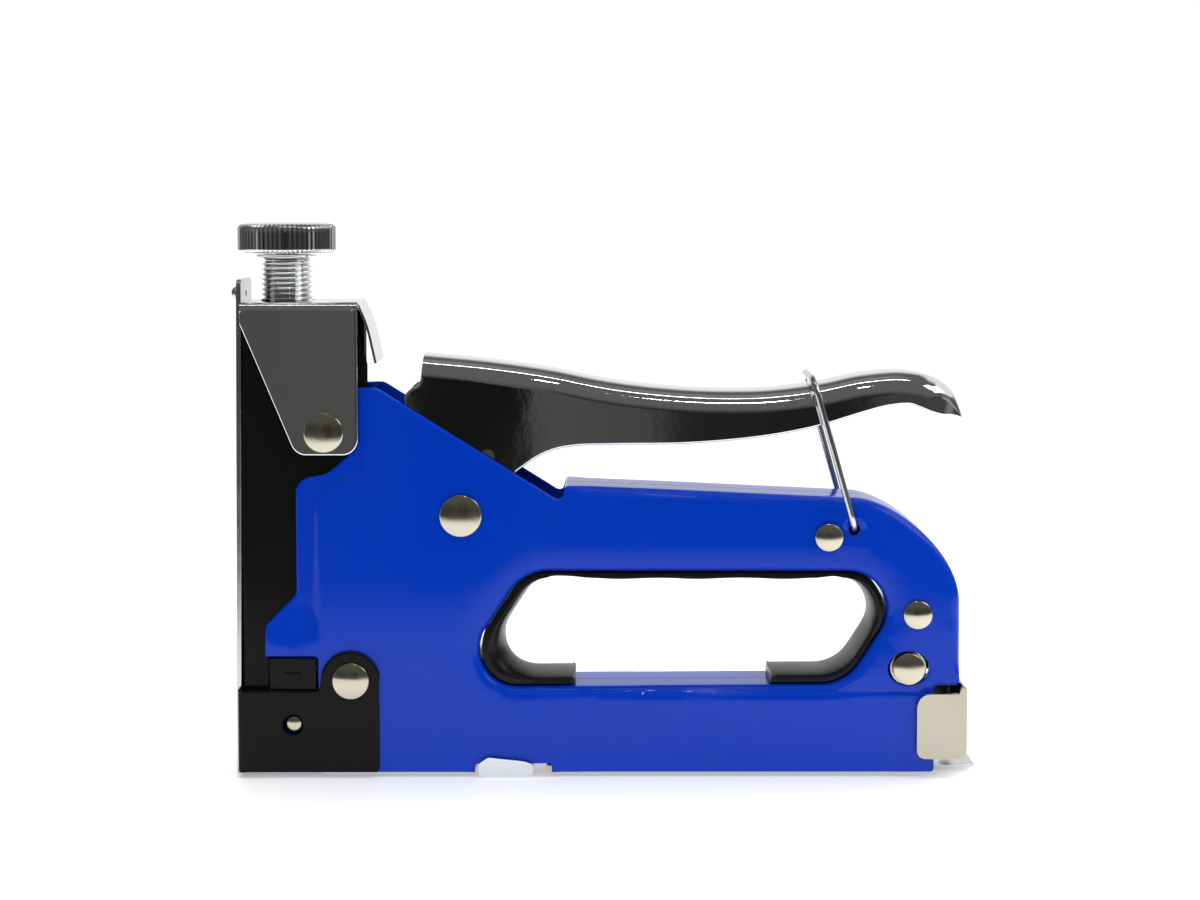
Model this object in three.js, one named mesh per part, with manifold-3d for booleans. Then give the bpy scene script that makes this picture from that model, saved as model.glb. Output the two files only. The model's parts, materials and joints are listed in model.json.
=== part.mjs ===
// Hand staple gun with a lever, an adjustable main spring and a rear-loading magazine.
// Millimetres. +Z is up, the nose is at -X, and the body is centred on Y = 0.
// Z = 0 is the face that meets the work. The finished gun is moved along X by centring, so
// that X = 0 is the middle of its length.
import * as THREE from 'three';
import { mergeVertices } from 'three/addons/utils/BufferGeometryUtils.js';
import Module from 'manifold-3d';

const wasm = await Module();
wasm.setup();

// ---- driving dimensions ----
const gap = 0.3; // between touching neighbours
const sheet = 1.2; // body and bracket sheet
const panelY = 10.5; // outer face of the body panels
const flangeY = 9.6; // outer face of the body's front flange
const channelY = 8.2; // outer face of the nose channel
const bracketY = 11; // outer face of the cap bracket
const bootY = 11.7; // outer face of the boot plates
const leverY = 8.8; // outer face of the lever
const leverSheet = 1.4;
const railY = 7.4; // outer face of the magazine rail
const drawerY = 4.6; // outer face of the magazine drawer
const noseX = -91.1; // front of the strike plate
const bodyRearX = 89.8;
const bodyLowZ = 0.7;
const strikerX = -78.6; // axis of the striker, main spring and screw
const pivot = { x: -34.6, z: 65.4 };
const bailPivot = { x: 63.3, z: 61.7 };
const shaftR = 3;
const smallShaftR = 2;
const headRise = 1.3;
const wireR = 0.8;
const tabTopZ = 124;
const capTopZ = 118.5;
const knobR = 12.2;
const knobLowZ = 130.4;
const knobTopZ = 138;
const screwR = 6.4;
const threadPitch = 1.25;
const staplesX = [-86.4, -50];
const plateScrewZ = 120.2;
const crossPin = { x: -28, z: 80, r: 1.8 }; // joins the lever to its lifting arm
const springRod = { z: 5.2, r: 1.3 }; // carries the pusher spring
const latchSheet = 0.9;
const centring = -1;

// ---- materials ----
const finish = (color, roughness, metalness) =>
  new THREE.MeshStandardMaterial({ color, roughness, metalness });
const bluePaint = finish(0x1032b2, 0.25, 0.1);
const blackPaint = finish(0x161614, 0.35, 0.1);
const chrome = finish(0xd9dbdc, 0.08, 1);
const nickel = finish(0xcdc6b4, 0.22, 1);
const zinc = finish(0xb8bbbd, 0.35, 1);
const springSteel = finish(0x5b5e60, 0.4, 1);
const rubber = finish(0x151517, 0.6, 0);
const blackPlastic = finish(0x18181a, 0.45, 0);

const gun = new THREE.Group();

// ---- shape helpers ----
// A corner list [x, z, radius] becomes an outline whose corners are true arcs.
function rounded(corners, stepDegrees = 18) {
  const points = [];
  corners.forEach(([x, z, radius = 0], i) => {
    const corner = new THREE.Vector2(x, z);
    if (radius === 0) {
      points.push(corner);
      return;
    }
    const before = corners[(i + corners.length - 1) % corners.length];
    const after = corners[(i + 1) % corners.length];
    const toBefore = new THREE.Vector2(before[0] - x, before[1] - z).normalize();
    const toAfter = new THREE.Vector2(after[0] - x, after[1] - z).normalize();
    const half = Math.acos(THREE.MathUtils.clamp(toBefore.dot(toAfter), -1, 1)) / 2;
    const middle = toBefore.clone().add(toAfter).normalize();
    const centre = corner.clone().addScaledVector(middle, radius / Math.sin(half));
    const first = corner.clone().addScaledVector(toBefore, radius / Math.tan(half)).sub(centre);
    const last = corner.clone().addScaledVector(toAfter, radius / Math.tan(half)).sub(centre);
    const turn = Math.atan2(first.cross(last), first.dot(last));
    const steps = Math.max(1, Math.ceil(Math.abs(turn) / THREE.MathUtils.degToRad(stepDegrees)));
    for (let k = 0; k <= steps; k++) {
      points.push(first.clone().rotateAround(new THREE.Vector2(), (turn * k) / steps).add(centre));
    }
  });
  return points;
}

// Moves every side of an outline inwards by a distance.
function inset(points, distance) {
  const side = THREE.ShapeUtils.area(points) > 0 ? 1 : -1;
  const clean = points.filter((p, i) => p.distanceTo(points[(i + 1) % points.length]) > 0.01);
  return clean.map((point, i) => {
    const before = clean[(i + clean.length - 1) % clean.length];
    const after = clean[(i + 1) % clean.length];
    const a = point.clone().sub(before).normalize();
    const b = after.clone().sub(point).normalize();
    const normalA = new THREE.Vector2(-a.y, a.x);
    const normalB = new THREE.Vector2(-b.y, b.x);
    const mitre = normalA.clone().add(normalB).normalize();
    const reach = distance / Math.max(0.4, mitre.dot(normalA));
    return point.clone().addScaledVector(mitre, side * reach);
  });
}

function curve(pairs, steps) {
  return new THREE.SplineCurve(pairs.map(([x, z]) => new THREE.Vector2(x, z))).getPoints(steps);
}

// An outline in X and Z, given its thickness between two Y planes.
function plate(points, yLow, yHigh) {
  const geometry = new THREE.ExtrudeGeometry(new THREE.Shape(points), {
    depth: yHigh - yLow,
    bevelEnabled: false,
  });
  return geometry.rotateX(Math.PI / 2).translate(0, yHigh, 0);
}

function block(xRange, yRange, zRange) {
  const size = [xRange, yRange, zRange].map(([low, high]) => high - low);
  const centre = [xRange, yRange, zRange].map(([low, high]) => (high + low) / 2);
  return new THREE.BoxGeometry(...size).translate(...centre);
}

// A round bar along Y through (x, z).
function barY(x, z, radius, yLow, yHigh, segments = 20) {
  const geometry = new THREE.CylinderGeometry(radius, radius, yHigh - yLow, segments);
  return geometry.translate(x, (yLow + yHigh) / 2, z);
}

function barZ(x, radius, zLow, zHigh, segments = 32) {
  const geometry = new THREE.CylinderGeometry(radius, radius, zHigh - zLow, segments);
  return geometry.rotateX(Math.PI / 2).translate(x, 0, (zLow + zHigh) / 2);
}

function barX(z, radius, xLow, xHigh, segments = 16) {
  const geometry = new THREE.CylinderGeometry(radius, radius, xHigh - xLow, segments);
  return geometry.rotateZ(Math.PI / 2).translate((xLow + xHigh) / 2, 0, z);
}

function toManifold(geometry) {
  const bare = geometry.clone();
  bare.deleteAttribute('normal');
  bare.deleteAttribute('uv');
  const merged = mergeVertices(bare, 1e-4);
  return new wasm.Manifold(
    new wasm.Mesh({
      numProp: 3,
      vertProperties: new Float32Array(merged.attributes.position.array),
      triVerts: new Uint32Array(merged.index.array),
    }),
  );
}

const join = (...pieces) => pieces.map(toManifold).reduce((sum, piece) => sum.add(piece));
const cut = (solid, ...tools) => tools.map(toManifold).reduce((rest, tool) => rest.subtract(tool), solid);

function toGeometry(solid) {
  const { vertProperties, triVerts } = solid.getMesh();
  const geometry = new THREE.BufferGeometry();
  geometry.setAttribute('position', new THREE.Float32BufferAttribute(vertProperties, 3));
  geometry.setIndex(Array.from(triVerts));
  geometry.computeVertexNormals();
  return geometry;
}

function add(name, shape, material) {
  const geometry = shape.isBufferGeometry ? shape : toGeometry(shape);
  const mesh = new THREE.Mesh(geometry, material);
  mesh.name = name;
  gun.add(mesh);
}

// ---- outlines ----
const handHole = [
  [-19, 51.3, 11.5],
  [79.9, 51.3, 10],
  [61.4, 22.7, 11.5],
  [-38.3, 22, 9.5],
];

function rearCorner() {
  const bend = new THREE.CubicBezierCurve(
    new THREE.Vector2(64, 69.6),
    new THREE.Vector2(74, 68.8),
    new THREE.Vector2(89.2, 56),
    new THREE.Vector2(bodyRearX, 44),
  );
  return bend.getPoints(9).map((p) => [p.x, p.y]);
}

const latchNotch = { x: 83.6, z: 22.7 };
const latchPin = { x: 87.5, z: 7.3, r: 0.9 };
const bodyCorners = [
  [-74, 97.2],
  [-55.3, 97.2, 3],
  [-10.9, 69.5, 0.8],
  [-9.5, 69.5, 0.8],
  [-8.6, 72.8, 0.8],
  [14, 71.9, 20],
  ...rearCorner(),
  [bodyRearX, latchNotch.z],
  [latchNotch.x, latchNotch.z],
  [latchNotch.x, bodyLowZ],
  [-83.5, bodyLowZ],
  [-83.5, 37.6, 2.5],
  [-75.7, 45.5, 3.5],
  [-75.7, 74.2, 4.2],
  [-67.6, 75.9, 4],
  [-62.6, 80.2],
  [-65, 82.5],
  [-74, 82.5],
];

// Where the body panel stands proud of its own front flange.
const flangeArea = rounded([
  [-95, -5],
  [-70.6, -5],
  [-70.6, 68.5, 5],
  [-59.6, 77.4, 5],
  [-58, 84.3],
  [-58, 98],
  [-95, 98],
]);

const liftSlot = [
  [-57, 99],
  [-47, 99],
  [-10.7, 72.5],
  [-10.7, 66],
  [-57, 88],
].map(([x, z]) => new THREE.Vector2(x, z));

// ---- body ----
const rivets = {
  pivot_rivet: { x: pivot.x, z: pivot.z, head: 5.25, shaft: shaftR, face: panelY },
  cap_rivet: { x: -68.4, z: 86.1, head: 4.9, shaft: smallShaftR, face: bracketY },
  boot_rivet: { x: -62, z: 24.2, head: 4.55, shaft: smallShaftR, face: bootY },
  grip_rivet: { x: 56.9, z: 60, head: 3.5, shaft: smallShaftR, face: panelY },
  rear_rivet_upper: { x: 79.1, z: 40.6, head: 3.6, shaft: smallShaftR, face: panelY },
  rear_rivet_lower: { x: 77, z: 27, head: 4, shaft: smallShaftR, face: panelY },
};
const spacerR = 5;
const bumper = { x: [-82.4, -70.8], z: [21.6, 29.5] };
const catchWindow = { x: [-31.2, -12.1], z: 3 };
const nosePin = { x: -76.5, z: 13.1, r: 1.75 };

function bodyShell(side) {
  const range = (low, high) => (side < 0 ? [-high, -low] : [low, high]);
  const outer = toManifold(plate(rounded(bodyCorners), ...range(gap / 2, panelY)));
  const innerOutline = inset(rounded(bodyCorners.map(([x, z]) => [x, z])), sheet);
  const holeRim = inset(rounded(handHole), -sheet);
  const pocket = toManifold(plate(innerOutline, ...range(0, panelY - sheet)))
    .subtract(toManifold(plate(holeRim, ...range(-1, panelY))))
    .subtract(toManifold(plate(flangeArea, ...range(flangeY - sheet, panelY))));
  const shell = outer.subtract(pocket);
  const deep = range(-1, panelY - sheet);
  const frontDeep = range(-1, flangeY - sheet);
  const through = range(-1, panelY + 1);
  const holes = Object.values(rivets)
    .filter((r) => r !== rivets.rear_rivet_lower)
    .map((r) => barY(r.x, r.z, r.shaft + gap, ...through));
  return cut(
    shell,
    plate(flangeArea, ...range(flangeY, panelY + 1)),
    plate(rounded(handHole), ...through),
    plate(liftSlot, ...deep),
    block([-100, -57.2], frontDeep, [-2, 100]),
    block([-61, 85], deep, [-2, 18]),
    block([70, 92], deep, [-2, 24]),
    block([bumper.x[0] - gap, bumper.x[1] + gap], through, [bumper.z[0] - gap, bumper.z[1] + gap]),
    block(catchWindow.x, through, [-2, catchWindow.z]),
    barY(rivets.rear_rivet_lower.x, rivets.rear_rivet_lower.z, spacerR, ...through),
    barY(bailPivot.x, bailPivot.z, wireR + 0.5, ...through),
    barY(nosePin.x, nosePin.z, nosePin.r + gap, ...through),
    ...holes,
  );
}

// A round rivet with a low domed head on both sides.
function rivet({ x, z, head, shaft, face }) {
  const seat = face + gap;
  const half = [
    [0, seat + headRise],
    [head * 0.55, seat + headRise * 0.9],
    [head * 0.92, seat + headRise * 0.5],
    [head, seat],
    [shaft, seat],
  ];
  const mirrored = half.map(([r, y]) => [r, -y]);
  const profile = [...mirrored, ...half.reverse()].map(([r, y]) => new THREE.Vector2(r, y));
  return new THREE.LatheGeometry(profile, 20).translate(x, 0, z);
}

function noseChannel() {
  const outline = [
    [-89.6, 1],
    [-70, 1],
    [-70, 52],
    [-57.7, 56],
    [-57.7, 103],
    [-61.2, 116.4],
    [-89.6, 116.4],
  ].map(([x, z]) => new THREE.Vector2(x, z));
  const inside = [-channelY + sheet, channelY - sheet];
  const wide = [-channelY - 1, channelY + 1];
  return cut(
    toManifold(plate(outline, -channelY, channelY)),
    block([-89.6 + sheet, -50], inside, [-5, 120]),
    block([bumper.x[0] - gap, -60], wide, [bumper.z[0] - gap, bumper.z[1] + gap]),
    barY(rivets.cap_rivet.x, rivets.cap_rivet.z, smallShaftR + gap, ...wide),
    barY(nosePin.x, nosePin.z, nosePin.r + gap, ...wide),
  );
}

function frontPlate() {
  const width = 8.6;
  const corner = 2;
  const outline = rounded([
    [-width, 0],
    [width, 0],
    [width, tabTopZ, corner],
    [-width, tabTopZ, corner],
  ]);
  const geometry = new THREE.ExtrudeGeometry(new THREE.Shape(outline), {
    depth: sheet,
    bevelEnabled: false,
  });
  geometry.rotateX(Math.PI / 2).rotateZ(Math.PI / 2).translate(noseX, 0, 0);
  return cut(toManifold(geometry), barX(120.2, 0.9, noseX - 1, noseX + 3));
}

function bootPlate(side) {
  const range = (low, high) => (side < 0 ? [-high, -low] : [low, high]);
  const outline = rounded([
    [-90.4, 1],
    [-55.1, 1],
    [-55.1, 24.2, 0],
    ...[30, 60, 90, 120, 150].map((deg) => {
      const angle = THREE.MathUtils.degToRad(deg);
      return [-62.2 + 7.2 * Math.cos(angle), 24.2 + 7.4 * Math.sin(angle)];
    }),
    [-69.6, 21.6, 1],
    [-90.4, 21.6],
  ]);
  const face = range(bootY - 0.9, bootY);
  const solid = toManifold(plate(outline, ...face))
    .add(toManifold(block([-90.4, -89.8], range(8.9, bootY - 0.5), [1, 21.6])));
  const through = range(5, bootY + 2);
  return cut(
    solid,
    barY(-62, 24.2, smallShaftR + gap, ...through),
    barY(nosePin.x, nosePin.z, nosePin.r + 0.5, ...through),
  );
}

function strikerBumper() {
  const half = flangeY + 0.8;
  const raised = half + 0.4;
  return join(
    block(bumper.x, [-half, half], bumper.z),
    block([-78.5, -74.8], [-raised, raised], [24.5, 26]),
  );
}

function capBracket() {
  const sidePlate = rounded([
    [-89, capTopZ, 2],
    [-89, 113],
    [-75.4, 80.4, 4],
    [-59.9, 80.4, 4],
    [-59.9, capTopZ, 1.2],
  ]);
  const flap = [
    [-62, capTopZ - sheet],
    [-62, capTopZ],
    [-59.6, capTopZ],
    [-54.9, 103.4],
    [-56, 103.1],
    [-60.4, capTopZ - sheet],
  ].map(([x, z]) => new THREE.Vector2(x, z));
  const inner = bracketY - 1.1;
  const solid = toManifold(plate(sidePlate, -bracketY, bracketY))
    .subtract(toManifold(block([-95, -50], [-inner, inner], [70, capTopZ - sheet])))
    .add(toManifold(plate(flap, -9, 9)));
  return cut(
    solid,
    barZ(strikerX, screwR + gap, 110, 125),
    barY(rivets.cap_rivet.x, rivets.cap_rivet.z, smallShaftR + gap, -15, 15),
  );
}

function buildBody() {
  add('body_shell_left', bodyShell(-1), bluePaint);
  add('body_shell_right', bodyShell(1), bluePaint);
  add('nose_channel', noseChannel(), blackPaint);
  add('front_plate', frontPlate(), zinc);
  const screwHead = [
    [0, -1.5],
    [1.2, -1.3],
    [1.7, -0.6],
    [1.7, -gap],
    [0.6, -gap],
    [0.6, sheet],
    [0, sheet],
  ].map(([r, y]) => new THREE.Vector2(r, y));
  const screw = new THREE.LatheGeometry(screwHead, 16).rotateZ(-Math.PI / 2);
  add('front_plate_screw', screw.translate(noseX, 0, plateScrewZ), zinc);
  add('boot_plate_left', bootPlate(-1), blackPaint);
  add('boot_plate_right', bootPlate(1), blackPaint);
  add('nose_pin', barY(nosePin.x, nosePin.z, nosePin.r, -11, 11), zinc);
  add('striker_bumper', strikerBumper(), blackPlastic);
  add('cap_bracket', capBracket(), chrome);
  for (const [name, place] of Object.entries(rivets)) add(name, rivet(place), nickel);
  const { x, z } = rivets.rear_rivet_lower;
  const spacer = cut(
    toManifold(barY(x, z, spacerR - gap, -panelY + 0.8, panelY - 0.8)),
    barY(x, z, smallShaftR + gap, -12, 12),
  );
  add('rear_spacer', spacer, nickel);
}

// ---- rubber lining of the hand hole ----
function buildLiner() {
  const outside = inset(rounded(handHole), 0.35);
  const inside = rounded([
    [-15.5, 49.8, 9],
    [75.5, 49.8, 9.8],
    [60.5, 25.8, 11],
    [-31.5, 25, 9],
  ]);
  const depth = 9.2;
  const liner = cut(
    toManifold(plate(outside, -depth, depth)),
    plate(inside, -depth - 1, depth + 1),
    block([-6, 42.3], [-depth - 1, depth + 1], [10, 35]),
  );
  add('hand_hole_liner', liner, rubber);
}

// ---- spring force adjuster ----
function flutedKnob() {
  const flutes = 62;
  const depth = 0.55;
  const rim = [];
  for (let i = 0; i < flutes * 2; i++) {
    const angle = (Math.PI * i) / flutes;
    const radius = i % 2 ? knobR - 1 : knobR - 1 - depth;
    rim.push(new THREE.Vector2(radius * Math.cos(angle), radius * Math.sin(angle)));
  }
  const bevel = 1;
  const geometry = new THREE.ExtrudeGeometry(new THREE.Shape(rim), {
    depth: knobTopZ - knobLowZ - 2 * bevel,
    bevelThickness: bevel,
    bevelSize: bevel,
    bevelSegments: 1,
  });
  geometry.translate(strikerX, 0, knobLowZ + bevel);
  return cut(toManifold(geometry), barZ(strikerX, 3, knobLowZ - 1, knobLowZ + 4, 16));
}

// The screw's ridges are drawn as rings, one at each turn of the thread.
function adjustingScrew() {
  const low = 114.6;
  const high = knobLowZ - gap;
  const profile = [[0, low], [screwR - 1, low]];
  for (let z = low + 0.6; z < high - 2.2; z += threadPitch) {
    profile.push([screwR - 0.7, z]);
    profile.push([screwR, z + threadPitch / 2]);
  }
  profile.push([screwR - 0.7, high - 1.4], [7.6, high - 0.8], [7.6, high], [2.7, high]);
  profile.push([2.7, knobLowZ + 3.4], [0, knobLowZ + 3.4]);
  const points = profile.map(([r, z]) => new THREE.Vector2(r, z));
  return new THREE.LatheGeometry(points, 20).rotateX(Math.PI / 2).translate(strikerX, 0, 0);
}

// A helical spring along its own +Z: one closed wire of the given radius, cut square at both ends.
function coilSpring(meanR, wire, length, turns, perTurn, sides) {
  class Helix extends THREE.Curve {
    getPoint(t, target = new THREE.Vector3()) {
      const angle = t * turns * 2 * Math.PI;
      return target.set(meanR * Math.cos(angle), meanR * Math.sin(angle), wire + t * (length - 2 * wire));
    }
  }
  const section = new THREE.Shape();
  for (let i = 0; i < sides; i++) {
    const angle = (2 * Math.PI * i) / sides;
    const point = [wire * Math.cos(angle), wire * Math.sin(angle)];
    if (i === 0) section.moveTo(...point);
    else section.lineTo(...point);
  }
  section.closePath();
  return new THREE.ExtrudeGeometry(section, {
    steps: Math.round(turns * perTurn),
    extrudePath: new Helix(),
    bevelEnabled: false,
  });
}

const seatZ = [110.4, 114.2];
const strikerZ = [31, 67];

function buildAdjuster() {
  add('adjusting_knob', flutedKnob(), chrome);
  add('adjusting_screw', adjustingScrew(), chrome);
  const bush = cut(
    toManifold(barZ(strikerX, screwR + 0.6, 114.8, capTopZ - sheet - gap)),
    barZ(strikerX, screwR + gap, 110, 125),
  );
  add('threaded_bush', bush, zinc);
  const seat = join(barZ(strikerX, 6.4, seatZ[0] + 1.6, seatZ[1]), barZ(strikerX, 3.6, seatZ[0] - 2, seatZ[1] - 0.5));
  add('spring_seat', seat, zinc);
}

// ---- striker, driven down by the main spring ----
const armTip = { x: -74, z: 60.5, r: 2.5 };

function buildStriker() {
  const slotRise = armTip.r + 0.8;
  const striker = cut(
    toManifold(block([-86.5, -71], [-6.6, 6.6], strikerZ)),
    block([armTip.x - 3.4, -70], [-3.2, 3.2], [armTip.z - slotRise, armTip.z + slotRise]),
  );
  add('striker', striker, springSteel);
  add('driver_blade', block([-88, -86.9], [-5.3, 5.3], [1, 60]), springSteel);
  const length = seatZ[0] + 1.6 - strikerZ[1] - 2 * gap;
  const spring = coilSpring(5, 1.15, length, 8, 11, 6);
  add('main_spring', spring.translate(strikerX, 0, strikerZ[1] + gap), springSteel);
}

// ---- lever ----
function leverSide() {
  const top = curve(
    [[-43.9, 105.2], [-12.4, 101.5], [11.4, 97.4], [35.7, 96.2], [55.2, 98.1], [72, 100.8], [84.3, 99.3], [90.3, 89.8]],
    30,
  );
  const under = curve(
    [[89.5, 89.9], [84.6, 91], [76, 93.2], [64.5, 90.6], [44.6, 85.5], [19.9, 83.1], [-7.1, 82.5], [-20.7, 76.2]],
    26,
  );
  const boss = [];
  const bossR = 9;
  for (let deg = -15; deg >= -195; deg -= 30) {
    const angle = THREE.MathUtils.degToRad(deg);
    boss.push(new THREE.Vector2(pivot.x + bossR * Math.cos(angle), pivot.z + bossR * Math.sin(angle)));
  }
  const front = [[-48.7, 94.8], [-45.7, 97.7], [-44.9, 98]].map(([x, z]) => new THREE.Vector2(x, z));
  return { top, under, outline: [...top, ...under, ...boss, ...front] };
}

function buildLever() {
  const { top, outline } = leverSide();
  const web = 1.6;
  const ceiling = inset(outline, web).slice(0, top.length - 2);
  const hollow = [
    new THREE.Vector2(-60, ceiling[0].y + 0.6),
    ...ceiling.slice(1),
    new THREE.Vector2(ceiling[ceiling.length - 1].x, 40),
    new THREE.Vector2(-60, 40),
  ];
  const inner = leverY - leverSheet;
  const lever = cut(
    toManifold(plate(outline, -leverY, leverY)),
    plate(hollow, -inner, inner),
    barY(pivot.x, pivot.z, shaftR + gap, -12, 12),
    barY(crossPin.x, crossPin.z, crossPin.r + gap, -12, 12),
  );
  add('lever', lever, chrome);

  const armHalf = 2.5;
  const arm = cut(
    toManifold(
      plate(
        rounded([
          [-28.4, 57.5, 6],
          [-28, 62],
          [-24.4, 80, 3.4],
          [-31.6, 84.6, 3.4],
          [-36.5, 74, 6],
          [-42, 70, 6],
          [-64, 63, 4],
          [armTip.x - 2.5, armTip.z + 2.2, 2.2],
          [armTip.x - 2.5, armTip.z - 2.2, 2.2],
          [-46, 56.4, 8],
        ]),
        -armHalf,
        armHalf,
      ),
    ),
    barY(pivot.x, pivot.z, shaftR + gap, -12, 12),
    barY(crossPin.x, crossPin.z, crossPin.r + gap, -12, 12),
  );
  add('lifting_arm', arm, zinc);
  add('arm_cross_pin', barY(crossPin.x, crossPin.z, crossPin.r, -leverY - 0.2, leverY + 0.2, 16), zinc);
  const coil = coilSpring(4.8, 0.6, 4, 2.5, 14, 6).rotateX(Math.PI / 2);
  add('lever_return_spring', coil.translate(pivot.x, 7, pivot.z), springSteel);
}

// ---- wire bail ----
function buildBail() {
  const legY = 12.8;
  const lean = { x: 52.6, z: 99.6 };
  const bend = 2.4;
  const along = new THREE.Vector3(lean.x - bailPivot.x, 0, lean.z - bailPivot.z).normalize();
  const at = (y, distance) =>
    new THREE.Vector3(bailPivot.x, y, bailPivot.z).addScaledVector(along, distance);
  const reach = Math.hypot(lean.x - bailPivot.x, lean.z - bailPivot.z);
  const path = new THREE.CurvePath();
  path.add(new THREE.LineCurve3(at(-8.4, 0), at(-legY + bend, 0)));
  path.add(new THREE.QuadraticBezierCurve3(at(-legY + bend, 0), at(-legY, 0), at(-legY, bend)));
  path.add(new THREE.LineCurve3(at(-legY, bend), at(-legY, reach - bend)));
  path.add(
    new THREE.QuadraticBezierCurve3(at(-legY, reach - bend), at(-legY, reach), at(-legY + bend, reach)),
  );
  path.add(new THREE.LineCurve3(at(-legY + bend, reach), at(legY - bend, reach)));
  path.add(
    new THREE.QuadraticBezierCurve3(at(legY - bend, reach), at(legY, reach), at(legY, reach - bend)),
  );
  path.add(new THREE.LineCurve3(at(legY, reach - bend), at(legY, bend)));
  path.add(new THREE.QuadraticBezierCurve3(at(legY, bend), at(legY, 0), at(legY - bend, 0)));
  path.add(new THREE.LineCurve3(at(legY - bend, 0), at(8.4, 0)));
  const section = new THREE.Shape();
  section.absarc(0, 0, wireR, 0, 2 * Math.PI);
  const bail = new THREE.ExtrudeGeometry(section, {
    steps: 66,
    curveSegments: 4,
    extrudePath: path,
    bevelEnabled: false,
  });
  add('locking_bail', bail, zinc);
}

// ---- magazine ----
function buildMagazine() {
  const inner = railY - 1;
  const rail = cut(
    toManifold(block([-69.5, 83], [-railY, railY], [0, 13])),
    block([-75, 90], [-inner, inner], [1, 20]),
    block([-31.5, -12], [-inner, inner], [-1, 5]),
    block([-31.5, -12], [-railY - 1, railY + 1], [-1, 1.3]),
  );
  add('magazine_rail', rail, zinc);

  const wall = 0.8;
  const drawerLow = 1.5;
  const drawerHigh = 8.6;
  const drawer = toManifold(block([-86, 84], [-drawerY, drawerY], [drawerLow, drawerHigh]))
    .subtract(toManifold(block([-87, 82.9], [-drawerY + wall, drawerY - wall], [drawerLow + wall, 20])));
  const tongue = rounded([
    [83.4, drawerLow],
    [83.6, 0],
    [86.5, 0],
    [94.6, 0.7],
    [94.6, 1.7, 0.4],
    [87, 1.2],
    [85.4, 1.6],
    [85.4, drawerHigh + 2],
    [83.8, drawerHigh + 2],
  ]);
  const withTongue = drawer.add(toManifold(plate(tongue, -drawerY, drawerY)));
  const lug = toManifold(block([85, 89], [-2.8, 2.8], [5.6, 9]));
  const cleared = cut(
    withTongue.add(lug),
    barX(springRod.z, springRod.r + gap, 80, 85.7),
    barY(latchPin.x, latchPin.z, latchPin.r + gap, -20, 20),
  );
  add('magazine_drawer', cleared, zinc);
  add('guide_rod', barX(springRod.z, springRod.r, -84, 85.6), zinc);

  const pusherX = [-49.4, -40];
  const pusher = cut(
    join(
      block(pusherX, [-3.3, 3.3], [2.7, 9.6]),
      block([pusherX[0], pusherX[1] - 1], [-5.7, 5.7], [9, 10.6]),
    ),
    barX(springRod.z, springRod.r + gap, -60, -30),
  );
  add('pusher', pusher, blackPlastic);
  const spring = coilSpring(2.3, 0.4, 100, 20, 8, 4).rotateY(Math.PI / 2);
  add('pusher_spring', spring.translate(pusherX[1] + gap, 0, springRod.z), springSteel);

  const crown = { half: 5.8, high: 10.3, thick: 0.8, leg: 2.3 };
  const staple = [
    [-crown.half, crown.leg],
    [-crown.half + 0.7, crown.leg],
    [-crown.half + 0.7, crown.high - crown.thick],
    [crown.half - 0.7, crown.high - crown.thick],
    [crown.half - 0.7, crown.leg],
    [crown.half, crown.leg],
    [crown.half, crown.high],
    [-crown.half, crown.high],
  ].map(([y, z]) => new THREE.Vector2(y, z));
  const strip = new THREE.ExtrudeGeometry(new THREE.Shape(staple), {
    depth: staplesX[1] - staplesX[0],
    bevelEnabled: false,
  });
  strip.rotateX(Math.PI / 2).rotateZ(Math.PI / 2);
  add('staple_strip', strip.translate(staplesX[0], 0, 0), zinc);
}

// The latch is folded round the rear of the body and pivots on the drawer's cross pin.
function buildLatch() {
  const half = panelY + gap + latchSheet + 0.5;
  const rearX = 91.4;
  const side = rounded([
    [78.9, 21, 3.3],
    [78.9, 4.5, 2.2],
    [rearX, 4.5, 2.2],
    [rearX, 22.6, 0.6],
    [89.9, 22.6, 0.4],
    [89.3, 21],
  ]);
  const lug = half - latchSheet;
  const thumbGrip = block([rearX - 0.2, rearX + 1.4], [-2.4, 2.4], [13.8, 20.2]);
  const latch = cut(
    toManifold(plate(side, -half, half)).add(toManifold(thumbGrip)),
    block([70, rearX - latchSheet], [-lug, lug], [0, 30]),
    block([89, 95], [-3.4, 3.4], [0, 9.4]),
  );
  add('drawer_latch', latch, nickel);
  add('latch_pin', barY(latchPin.x, latchPin.z, latchPin.r, -lug + gap, lug - gap, 12), zinc);
}

function buildSelector() {
  const x = [-30.4, -16.7];
  const outline = rounded([
    [x[0], 0, 1],
    [x[1], 0, 1.4],
    [x[1], 3.2, 0.8],
    [x[1] - 2.2, 3.9, 1.2],
    [x[0] + 2.4, 4.9, 1.6],
    [x[0], 3.2, 1],
  ]);
  const tabSheet = 0.9;
  const half = panelY + gap + tabSheet;
  const inner = half - tabSheet;
  const tab = toManifold(plate(outline, -half, half))
    .subtract(toManifold(block([-40, -10], [-inner, inner], [tabSheet, 6])));
  add('selector_slide', tab, chrome);
  for (const [name, sign] of [['selector_stop_left', -1], ['selector_stop_right', 1]]) {
    const range = [8.2 * sign, 11 * sign].sort((a, b) => a - b);
    add(name, barY(-12.9, 2.1, 0.6, ...range, 12), nickel);
  }
}

buildBody();
buildLiner();
buildAdjuster();
buildStriker();
buildLever();
buildBail();
buildMagazine();
buildLatch();
buildSelector();

gun.position.x = centring;

export default gun;
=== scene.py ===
import json
import math

import bmesh
import bpy
import numpy as np
from mathutils import Matrix, Vector
from mathutils.geometry import delaunay_2d_cdt


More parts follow.
